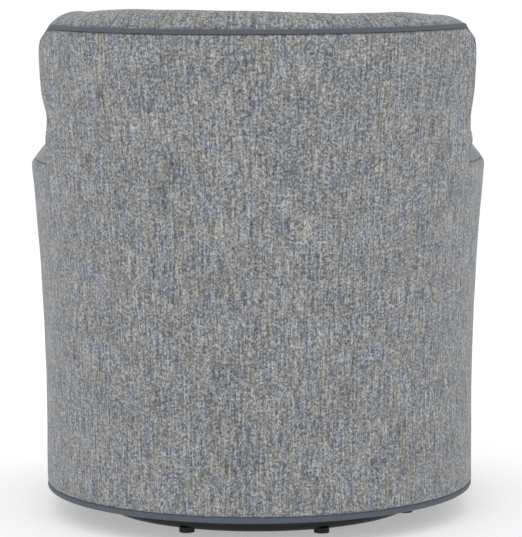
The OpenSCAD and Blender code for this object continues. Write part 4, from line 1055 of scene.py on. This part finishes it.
def arm_front(side):
    """The padded front of an arm: inset 8.4 mm from the arm's outline and domed 3 mm by a half sine, it
    stands 10 mm before the bowed front, and its edges are rolled on a radius of 7 mm. Width and height
    are the front's own, roughly, and only set where the grid's rows crowd."""
    b, low, inset = barrel(), panel_low(), 8.4 * MM
    seed, start = {"left": (41, 13.0), "right": (42, 15.0)}[side]
    width, height = 90 * MM, 560 * MM
    c = stations(0, 1, 30, [e / width for e in FRONT_STEPS])
    t = stations(0, 1, 90, [e / height for e in FRONT_STEPS])
    c, t = np.meshgrid(c, t, indexing="ij")
    wide = arm_thickness(1.0, b.arm_top)
    deep = inset + (wide - 2 * inset) * c
    fall = rolled(deep - inset, b.arm_outer - inset) + rolled(wide - deep - inset, b.arm_inner - inset)
    top = b.arm_top - inset - fall
    z = low + (top - low) * t
    x = side_x(b.arm_front, z) - inset - (arm_thickness(1.0, z) - 2 * inset) * c
    near = np.minimum(np.minimum(c, 1 - c) * (wide - 2 * inset), np.minimum(z - low, top - z))
    y = fore_y(x, z) + 10 * MM + 3 * MM * np.sin(math.pi * c) - rolled(near, 7 * MM)
    y = y + 0.8 * MM * wavy(x, z, seed) * smooth(near / (30 * MM))
    outer = mirrored(np.stack([x, -y, z], -1), side)
    inner = mirrored(np.stack([x, np.full_like(x, -b.arm_front - GAP), z], -1), side)
    uv = np.stack([row_run(x.T, y.T).T + start, low + row_run(z, y)], -1)
    obj = shell("arm_front_cover_" + side, outer, inner, uv)
    return dress(obj, tweed(), "tweed", "chair", "arm_front_" + side)


def arm_front_welt(side):
    """The welt round an arm's front: a round cord on the arm's outline, from the foot over the top and
    down."""
    b, low, r = barrel(), panel_low(), goods().welt
    outer, inner = b.arm_outer - r, b.arm_inner - r
    a = np.linspace(0, math.pi / 2, 24)
    up = np.linspace(low, b.arm_top - b.arm_outer, 100)[:-1]
    down = np.linspace(b.arm_top - b.arm_inner, low, 100)[1:]
    over_out = b.arm_top - b.arm_outer + outer * np.sin(a)
    over_in = b.arm_top - b.arm_inner + inner * np.cos(a)
    z = np.concatenate([up, over_out, over_in, down])
    d_in = arm_thickness(1.0, over_in) - b.arm_inner + inner * np.sin(a)
    d = np.concatenate([
        np.full(len(up), r), b.arm_outer - outer * np.cos(a), d_in, arm_thickness(1.0, down) - r])
    y = np.full(len(z), -b.arm_front - GAP - r)
    path = mirrored(np.stack([side_x(b.arm_front, z) - d, y, z], -1), side)
    obj = round_tube("arm_front_welt_" + side, path, r, 14, up=(0, 1, 0))
    return dress(obj, welt_cloth(), "welt_cloth", "chair", "arm_front_welts")


def front_apron():
    """The front panel between the arms, from the foot to the deck, 4 mm before the bowed front, with
    rolled edges. Reach is about half its width, and only sets where the grid's rows crowd."""
    low, top = panel_low(), goods().deck
    reach, wadding = 270 * MM, 10.6 * MM
    c = stations(-1, 1, 110, [e / reach for e in EDGE_STEPS])
    c, z = np.meshgrid(c, stations(low, top, 56, EDGE_STEPS), indexing="ij")
    half = arm_inner_x(barrel().arm_front, z) - GAP
    x, side = c * half, (1 - np.abs(c)) * half
    roll = np.maximum(rolled(side, 2 * MM), np.maximum(rolled(z - low, 4 * MM), rolled(top - z, 5 * MM)))
    rise = 0.6 * MM * wavy(x, z, 51) * smooth(side / (30 * MM)) + 0.3 * MM * puckers(x, z - low, 52)
    outer = np.stack([x, -(fore_y(x, z) + 4 * MM - roll + rise), z], -1)
    inner = np.stack([x, wadding - fore_y(x, z), z], -1)
    obj = shell("front_apron_cover", outer, inner, np.stack([x + 17.0, z], -1))
    return dress(obj, tweed(), "tweed", "chair", "front_apron")


def foot_welt():
    """The welt round the foot: a thick round cord on the barrel's plan, tucked 1.5 mm further under at
    the sides."""
    radius, sides = goods().foot_welt, 16
    around, a = np.arange(480) * math.tau / 480, np.arange(sides) * math.tau / sides
    angle, a = np.meshgrid(around, a, indexing="ij")
    tuck = 4 * MM + 1.5 * MM * np.cos(angle) ** 2
    rings = plan_point(angle, barrel().skirt + radius + radius * np.sin(a), tuck + radius * np.cos(a))
    obj = tube("foot_welt_cord", rings, cord_grain(loop_run(rings[:, 0]), radius, sides), True)
    return dress(obj, welt_cloth(), "welt_cloth", "chair", "foot_welt")


# The seat cushion


def even_loop(points, count):
    """A closed path through the points, resampled at even steps and smoothed four times with its
    neighbours."""
    closed, run = np.concatenate([points, points[:1]]), loop_run(points)
    at = np.arange(count) * run[-1] / count
    even = np.stack([np.interp(at, run, closed[:, k]) for k in range(2)], -1)
    for again in range(4):
        even = even / 2 + (np.roll(even, 1, 0) + np.roll(even, -1, 0)) / 4
    return even


def cushion_levels():
    """Heights of the cushion's underside and of its low and high seam."""
    g = goods()
    low = g.deck + GAP
    return low, low + g.welt + 1 * MM, low + g.cushion_height - g.welt


def cushion_plan(count):
    """The cushion's outline at its seams: the back's ellipse, the arms' inner faces, corners of 42 mm
    and a front bowed by 6 mm."""
    b, corner, bow, play = barrel(), 42 * MM, 6 * MM, 0.8 * MM
    low, front = cushion_levels()[0], goods().cushion_front
    rear = rear_point(np.linspace(math.radians(168), math.radians(12), 120), low, b.back_depth + play)[:, :2]
    y = np.linspace(0, front - corner, 60)
    side = np.stack([arm_inner_x(y, low) - play, -y], -1)
    centre = side[-1] - np.array([corner, 0])
    a = np.linspace(0, math.pi / 2, 20)[1:]
    turn = centre + corner * np.stack([np.cos(a), -np.sin(a)], -1)
    f = np.linspace(1, -1, 50)[1:-1]
    bowed = np.stack([f * centre[0], -front - bow * (1 - f**2)], -1)
    flip = np.array([-1, 1])
    return even_loop(np.concatenate([rear, side, turn, bowed, turn[::-1] * flip, side[::-1] * flip]), count)


def drawn_in(path, edge):
    """A closed path, run clockwise seen from above, moved inwards by edge."""
    run = np.roll(path, -1, 0) - np.roll(path, 1, 0)
    run /= np.linalg.norm(run, axis=1)[:, None]
    return path + edge * np.stack([run[:, 1], -run[:, 0]], -1)


def cushion_rings(crown):
    """The cushion's rings, from the middle of its bottom over its seams and its drawn-in sides to the
    middle of its top, which is crowned with the power 3.5."""
    plan, middle = cushion_plan(360), np.array([0, CUSHION_MIDDLE])
    low, low_seam, high_seam = cushion_levels()
    bottom, seam = drawn_in(plan, 2 * SEAM_INSET) - middle, drawn_in(plan, SEAM_INSET) - middle
    rings = [(middle + share * bottom, low) for share in (0.06, 0.2, 0.4, 0.6, 0.8)]
    # The sides, as how far each ring is drawn in and its height
    for edge, z in (
        (2 * SEAM_INSET, low), (13 * MM, low + 2.2 * MM), (SEAM_INSET, low_seam), (6 * MM, low_seam + 4 * MM),
        (4.6 * MM, low_seam + 12 * MM), (6.6 * MM, (low_seam + high_seam) / 2),
        (4.6 * MM, high_seam - 12 * MM), (6 * MM, high_seam - 4 * MM), (SEAM_INSET, high_seam),
    ):
        rings.append((drawn_in(plan, edge), z))
    for share in (0.985, 0.96, 0.92, 0.86, 0.78, 0.68, 0.56, 0.42, 0.26, 0.1, 0.03):
        rings.append((middle + share * seam, high_seam + crown * (1 - share**3.5)))
    return np.array([np.column_stack([ring, np.full(len(ring), z)]) for ring, z in rings])


def swollen(obj):
    """The cushion as cloth under pressure: remeshed at 6.4 mm, held along its two seams and underneath, and
    run for a few steps. Points move at most 4 mm sideways and 24 mm up."""
    g, scene = goods(), bpy.context.scene
    low, low_seam, high_seam = cushion_levels()
    grid = obj.modifiers.new("remesh", "REMESH")
    grid.mode, grid.voxel_size = "VOXEL", 6.4 * MM
    rest = read(settled(obj).vertices, "co", 3).astype(float)
    seam, z = drawn_in(cushion_plan(360), SEAM_INSET)[::6], rest[:, 2]
    near = np.min(np.linalg.norm(rest[:, None, :2] - seam, axis=2), axis=1) < 11 * MM
    level = np.minimum(np.abs(z - low_seam), np.abs(z - high_seam)) < 4 * MM
    held = (near & level) | (z < low + 1 * MM)
    obj.vertex_groups.new(name="seams").add(np.flatnonzero(held).tolist(), 1.0, "REPLACE")
    cloth = obj.modifiers.new("cloth", "CLOTH")
    cloth.settings.quality = 5
    cloth.settings.mass = 0.3
    cloth.settings.tension_stiffness = cloth.settings.compression_stiffness = 12
    cloth.settings.bending_stiffness = 1.5
    cloth.settings.use_pressure = True
    cloth.settings.uniform_pressure_force = g.swell_pressure
    cloth.settings.vertex_group_mass = "seams"
    cloth.settings.effector_weights.gravity = 0
    cloth.collision_settings.use_collision = False
    for step in range(1, g.swell_steps + 1):
        scene.frame_set(step)
    mesh = settled(obj)
    obj.vertex_groups.clear()
    scene.frame_set(1)
    side_limit, rise_limit = 4 * MM, 24 * MM
    move = read(mesh.vertices, "co", 3) - rest
    flat = np.linalg.norm(move[:, :2], axis=1)
    move[:, :2] *= (side_limit * np.tanh(flat / side_limit) / np.maximum(flat, 1e-9))[:, None]
    move[:, 2] = rise_limit * np.tanh(move[:, 2] / rise_limit)
    rest = rest + move
    rest[:, 2] = np.maximum(rest[:, 2], low)
    write(mesh.vertices, "co", rest)


def cushion_grain(mesh):
    """Lays the cloth on the cushion: flat from above on top and bottom, and round the outline by height
    on the sides."""
    corners = read(mesh.loops, "vertex_index", kind=np.int32)
    points = read(mesh.vertices, "co", 3)
    total = read(mesh.polygons, "loop_total", kind=np.int32)
    height = read(mesh.polygons, "center", 3)[:, 2]
    low_seam, high_seam = cushion_levels()[1:]
    side = np.repeat((height > low_seam) & (height < high_seam), total)[:, None]
    plan = cushion_plan(720)
    turn = np.arctan2(plan[:, 1] - CUSHION_MIDDLE, plan[:, 0])
    order = np.argsort(turn)
    angle = np.arctan2(points[:, 1] - CUSHION_MIDDLE, points[:, 0])
    along = np.interp(angle, turn[order], loop_run(plan)[order])
    uv = np.where(side, np.stack([along + 19.0, points[:, 2]], -1)[corners], points[corners, :2] + 21.0)
    write(mesh.uv_layers.new(name="cloth").data, "uv", uv)
    write(mesh.polygons, "use_smooth", np.ones(len(mesh.polygons)), bool)


def seat_cushion():
    """The loose seat cushion: crowned, held at its two seams, with sides that pull in between them. It is
    crowned a little before it swells."""
    slack_crown = 8 * MM
    rings = cushion_rings(slack_crown)
    obj = tube("seat_cushion_block", rings, np.zeros((len(rings), rings.shape[1] + 1, 2)), False)
    swollen(obj)
    smoother = obj.modifiers.new("subdivision", "SUBSURF")
    smoother.levels = smoother.render_levels = 1
    cushion_grain(settled(obj))
    return dress(obj, tweed(), "tweed", "chair", "seat_cushion")


def cushion_welt(name, height):
    """A welt round the cushion at one of its seams."""
    radius = goods().welt
    path = drawn_in(cushion_plan(520), radius)
    obj = round_tube(name, np.column_stack([path, np.full(len(path), height)]), radius, 14, closed=True)
    return dress(obj, welt_cloth(), "welt_cloth", "chair", "cushion_welts")


# The underside and the springs


def inner_plan(angle, z, depth, front):
    """The barrel's plan at a depth below its surface, cut off straight at a distance before the axis."""
    p = plan_point(angle, z, depth)
    p[..., 1] = np.maximum(p[..., 1], -front)
    return p


def dust_sheet():
    """The dust cloth under the seat: a thin felt that sags 2.5 mm between its tacked edge and the hem
    of its round hole, where it is turned over and 1.4 mm thick."""
    hole_radius, low = goods().dust_hole, panel_low() + 9.6 * MM
    inset, dip, ripple, hem, felt = 15 * MM, 2.5 * MM, 0.3 * MM, 1.4 * MM, 0.6 * MM
    angle = np.linspace(0, math.tau, 241)[:-1]
    outer = inner_plan(angle, low, inset, barrel().arm_front)[:, :2]
    hole = hole_radius * np.stack([np.cos(angle), np.sin(angle)], -1)
    share = stations(0, 1, 16, [0.02, 0.05, 0.09, 0.12])
    flat = hole[:, None] + (outer - hole)[:, None] * share[None, :, None]
    sag = (ripple * np.sin(7 * angle)[:, None] - dip) * np.sin(math.pi * share)
    thick = np.where(share < 0.07, hem, felt)
    z = low + 1.5 * MM + sag
    top = np.concatenate([flat, z[..., None]], -1)
    under = np.concatenate([flat, (z - thick)[..., None]], -1)
    rings = np.concatenate([top, under[:, ::-1]], 1)
    uv = np.pad(rings[..., :2], ((0, 1), (0, 1), (0, 0)), mode="wrap")
    obj = tube("dust_cloth_sheet", rings, uv, True)
    dress(obj, dust_cloth(), "dust_cloth", "chair", "dust_cover")
    return obj


def deck_cushion():
    """The thin pad over the seat springs: flat, with edges rounded on quarter circles of 7 mm."""
    top, low, r = goods().deck, goods().deck - 23.8 * MM, 7 * MM
    inset, front = 37.4 * MM, 320 * MM
    angle = np.arange(200) * math.tau / 200
    # Half the rings, from the middle outwards: their share of the plan, how far in they lie, and their rise
    half = [(share, r, 0) for share in np.linspace(0.02, 0.96, 12)]
    half += [(1, r - r * math.sin(t), r - r * math.cos(t)) for t in np.linspace(0, math.pi / 2, 7)]
    rings = [(share, edge, low + rise) for share, edge, rise in half]
    rings += [(share, edge, top - rise) for share, edge, rise in reversed(half)]
    grid = []
    for share, edge, z in rings:
        p = inner_plan(angle, low, inset + edge, front - edge)
        grid.append(p * np.array([share, share, 0]) + np.array([0, 0, z]))
    grid = np.array(grid)
    uv = np.pad(grid[..., :2], ((0, 0), (0, 1), (0, 0)), mode="wrap")
    obj = tube("deck_pad_cover", grid, uv, False)
    return dress(obj, deck_duck(), "deck_cloth", "chair", "deck_pad")


def rocker_spring(name, x, y, node):
    """A compression spring: a helix of five open turns between two closed ends of three quarters of a
    turn, in wire 5 mm thick."""
    low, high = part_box(node)
    wire, radius, turns, dead = 5 * MM, 23 * MM, 6.5, 0.75
    z0, z1 = low[2] + wire / 2, high[2] - wire / 2
    turn = np.linspace(0, turns, 209)
    climb = np.clip((turn - dead) / (turns - 2 * dead), 0, 1)
    lay = np.minimum(turn, dead) + np.maximum(turn - turns + dead, 0)
    z = z0 + wire * lay + (z1 - z0 - 2 * dead * wire) * climb
    path = np.stack([x + radius * np.cos(math.tau * turn), y + radius * np.sin(math.tau * turn), z], -1)
    obj = round_tube(name, path, wire / 2, 10)
    dress(obj, spring_wire(), "spring_steel", "", node)
    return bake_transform(obj)


def seat_snakes():
    """Four sinuous springs of 4 mm wire: a sine from side to side eight times, leaning over at its
    bends, and arched up by 8 mm in the middle."""
    half_frame, front, rear, base = 234 * MM, 277.5 * MM, 179 * MM, goods().deck - 34.2 * MM
    wire, bends, swing, lean, arch = 4 * MM, 8, 26 * MM, 5 * MM, 8 * MM
    t = np.linspace(0, 1, bends * 28 + 1)
    a = math.tau * bends * t
    for k, share in enumerate((-0.7, -0.24, 0.24, 0.7)):
        y = -front + (front + rear) * t - lean * np.sin(2 * a)
        z = base + arch * np.sin(math.pi * t)
        path = np.stack([share * half_frame + swing * np.sin(a), y, z], -1)
        obj = round_tube(f"sinuous_spring_{k + 1}", path, wire / 2, 8)
        dress(obj, spring_wire(), "spring_steel", "chair", "seat_springs")


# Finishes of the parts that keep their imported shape


def finish_parts():
    """Gives each kept part the finish of the real one, in every slot of it."""
    for material, names in (
        (black_coat(), "floor_ring base_arms"),
        (glide_nylon(), "floor_glides"),
        (head_coat(), "lower_bearing_plate upper_bearing_plate rocker_cradle rocker_plate"),
        (head_coat(), "lower_spring_cups upper_spring_cups"),
        (zinc_plate(), "king_pin pivot_shaft shaft_collars rocker_plate_bolts spring_clips"),
        (cage_brass(), "ball_cage"),
        (ball_steel(), "bearing_balls"),
        (acetal(), "pivot_bushes"),
        (stop_rubber(), "bump_stops"),
        (plywood(), "seat_frame_ring rear_base_rail left_base_rail right_base_rail back_middle_rail"),
        (plywood(), "back_top_rail left_arm_rail right_arm_rail"),
        (fibre_board(), "back_lining"),
        (beech(0), "front_seat_rail rear_seat_rail"),
        (beech(1), "cross_rails side_seat_rails"),
        (beech(2), "corner_blocks front_posts"),
        (pine(0), "front_base_rail front_top_rail"),
        (pine(2), "low_staves high_staves"),
    ):
        for obj in [NODES[name] for name in names.split()]:
            if not obj.material_slots:
                obj.data.materials.append(material)
            for slot in obj.material_slots:
                slot.material = material


# The stage


def backdrop():
    """A white world: it lights the object softly, and looks pure white to the camera, in gloss and
    through glass."""
    world = bpy.data.worlds.new("white_studio")
    bpy.context.scene.world = world
    world.use_nodes = True
    tree = world.node_tree
    tree.nodes.clear()
    ray = add(tree, "LightPath").outputs
    seen = add(tree, "Math", ray["Is Camera Ray"], ray["Is Glossy Ray"], operation="MAXIMUM")
    plain = add(tree, "Math", seen, ray["Is Transmission Ray"], operation="MAXIMUM")
    strength = add(tree, "MapRange", plain, To_Min=0.92, To_Max=1.0)
    light = add(tree, "Background", (1, 1, 1, 1), strength)
    add(tree, "OutputWorld", light)


def floor():
    """A plain white floor of matte board that glows a little, as a lit studio sweep does, and keeps the
    object's shadow."""
    half = 14.0
    mesh = bpy.data.meshes.new("studio_floor")
    corners = [(-half, -half, 0), (half, -half, 0), (half, half, 0), (-half, half, 0)]
    mesh.from_pydata(corners, [], [(0, 1, 2, 3)])
    material, tree, skin = blank(
        "matte_white_board", Roughness=0.9, Specular_IOR_Level=0.2, Emission_Strength=0.38,
        Emission_Color=(1, 1, 1, 1))
    grain = add(tree, "TexNoise", add(tree, "TexCoord").outputs["Object"], Scale=30.0)
    tone = shades(add(tree, "ValToRGB", grain), (0.0, linear("#d5d5d5")), (1.0, linear("#d8d8d8")))
    fill(skin, Base_Color=tone)
    mesh.materials.append(material)
    place_object("studio_floor", mesh)


def lamp(name, place, aim, power, size=3.0):
    """A square soft lamp at a place, turned to shine at a point."""
    data = bpy.data.lights.new(name, "AREA")
    data.shape, data.size, data.energy = "SQUARE", size, power
    obj = place_object(name, data)
    away = np.array(place, float) - np.array(aim, float)
    away /= np.linalg.norm(away)
    obj.location = place
    obj.rotation_euler = (math.acos(away[2]), 0, math.atan2(away[1], away[0]) + math.pi / 2)


def camera():
    """The photograph's camera: 5.4 m behind the chair and 1.06 m up, aimed slightly down, with a long
    lens."""
    data = bpy.data.cameras.new("photo_camera")
    data.sensor_width, data.lens, data.clip_end = 36.0, 210.8, 60
    turn, tilt, roll = math.radians(180 - 0.0455), math.radians(90 - 6.83), math.radians(-0.25)
    place = Matrix.Translation((0, 5.4, 1.062)) @ Matrix.Rotation(turn, 4, "Z")
    obj = place_object("photo_camera", data)
    obj.matrix_world = place @ Matrix.Rotation(tilt, 4, "X") @ Matrix.Rotation(roll, 4, "Z")
    bpy.context.scene.camera = obj


# Operators


class ROCKER_OT_back_covers(bpy.types.Operator):
    """Makes the outside back, the boxing and the stuffed inside back"""

    bl_idname = "rocker.back_covers"
    bl_label = "Back covers"

    def execute(self, context):
        outside_back()
        back_boxing()
        inside_back()
        return {"FINISHED"}


class ROCKER_OT_arm_covers(bpy.types.Operator):
    """Makes both arms' outer covers, pads and padded fronts"""

    bl_idname = "rocker.arm_covers"
    bl_label = "Arm covers"

    def execute(self, context):
        for side in ("right", "left"):
            outside_arm(side)
            arm_pad(side)
            arm_front(side)
        return {"FINISHED"}


class ROCKER_OT_front_apron(bpy.types.Operator):
    """Makes the front panel between the arms"""

    bl_idname = "rocker.front_apron"
    bl_label = "Front apron"

    def execute(self, context):
        front_apron()
        return {"FINISHED"}


class ROCKER_OT_seat_cushion(bpy.types.Operator):
    """Makes the loose seat cushion and swells it as cloth"""

    bl_idname = "rocker.seat_cushion"
    bl_label = "Seat cushion"

    def execute(self, context):
        seat_cushion()
        return {"FINISHED"}


class ROCKER_OT_welts(bpy.types.Operator):
    """Makes the welts of the back, the foot, the arms and the cushion"""

    bl_idname = "rocker.welts"
    bl_label = "Welts"

    def execute(self, context):
        low_seam, high_seam = cushion_levels()[1:]
        back_welt()
        inside_back_welt()
        foot_welt()
        cushion_welt("cushion_welt_low", low_seam)
        cushion_welt("cushion_welt_high", high_seam)
        arm_front_welt("right")
        arm_front_welt("left")
        return {"FINISHED"}


class ROCKER_OT_underside(bpy.types.Operator):
    """Makes the dust cloth and the deck pad"""

    bl_idname = "rocker.underside"
    bl_label = "Dust cloth and deck"

    def execute(self, context):
        dust_sheet()
        deck_cushion()
        return {"FINISHED"}


class ROCKER_OT_springs(bpy.types.Operator):
    """Makes the four rocker springs and the seat's sinuous springs"""

    bl_idname = "rocker.springs"
    bl_label = "Springs"

    def execute(self, context):
        for row, y in (("front", -SPRING_Y), ("rear", SPRING_Y)):
            for side, x in (("left", -SPRING_X), ("right", SPRING_X)):
                rocker_spring(f"rocker_coil_{row}_{side}", x, y, f"spring_{row}_{side}")
        seat_snakes()
        return {"FINISHED"}


class ROCKER_OT_finishes(bpy.types.Operator):
    """Gives the frame, the rocker head and the floor base their finishes"""

    bl_idname = "rocker.finishes"
    bl_label = "Wood and metal finishes"

    def execute(self, context):
        finish_parts()
        return {"FINISHED"}


class ROCKER_OT_stage(bpy.types.Operator):
    """Sets up the white studio, its lamps and the photograph's camera"""

    bl_idname = "rocker.stage"
    bl_label = "Stage"

    def execute(self, context):
        context.scene.view_settings.view_transform = "Standard"
        backdrop()
        floor()
        lamp("key_light", place=(1.6, 4.2, 3.4), aim=(0, 0.2, 0.5), power=22.0)
        lamp("fill_light", place=(-2.6, 3.4, 2.2), aim=(0, 0, 0.45), power=8.0)
        lamp("front_light", place=(0.6, -3.6, 2.8), aim=(0, 0, 0.5), power=15.0)
        camera()
        return {"FINISHED"}


class ROCKER_PT_panel(bpy.types.Panel):
    """Lists the rocker's sizes and operators"""

    bl_idname = "ROCKER_PT_panel"
    bl_label = "Barrel Swivel Rocker"
    bl_space_type = "VIEW_3D"
    bl_region_type = "UI"
    bl_category = "Rocker"

    def draw(self, context):
        for name in ("rocker_barrel", "rocker_goods", "rocker_cloth"):
            group = getattr(context.scene, name)
            box = self.layout.box()
            for key in group.bl_rna.properties.keys():
                if key not in ("rna_type", "name"):
                    box.prop(group, key)
        for operator in OPERATORS:
            self.layout.operator(operator.bl_idname)


OPERATORS = (
    ROCKER_OT_back_covers, ROCKER_OT_arm_covers, ROCKER_OT_front_apron, ROCKER_OT_seat_cushion,
    ROCKER_OT_welts, ROCKER_OT_underside, ROCKER_OT_springs, ROCKER_OT_finishes, ROCKER_OT_stage,
)
CLASSES = (RockerBarrel, RockerSoftGoods, RockerCloth, *OPERATORS, ROCKER_PT_panel)


def register():
    for cls in CLASSES:
        bpy.utils.register_class(cls)
    bpy.types.Scene.rocker_barrel = PointerProperty(type=RockerBarrel)
    bpy.types.Scene.rocker_goods = PointerProperty(type=RockerSoftGoods)
    bpy.types.Scene.rocker_cloth = PointerProperty(type=RockerCloth)


def unregister():
    del bpy.types.Scene.rocker_cloth
    del bpy.types.Scene.rocker_goods
    del bpy.types.Scene.rocker_barrel
    for cls in reversed(CLASSES):
        bpy.utils.unregister_class(cls)


def main():
    """Registers the add-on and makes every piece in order."""
    register()
    bpy.ops.rocker.stage()
    bpy.ops.rocker.finishes()
    bpy.ops.rocker.back_covers()
    bpy.ops.rocker.arm_covers()
    bpy.ops.rocker.front_apron()
    bpy.ops.rocker.seat_cushion()
    bpy.ops.rocker.welts()
    bpy.ops.rocker.underside()
    bpy.ops.rocker.springs()
    bpy.context.view_layer.update()


if __name__ == "__main__":
    main()
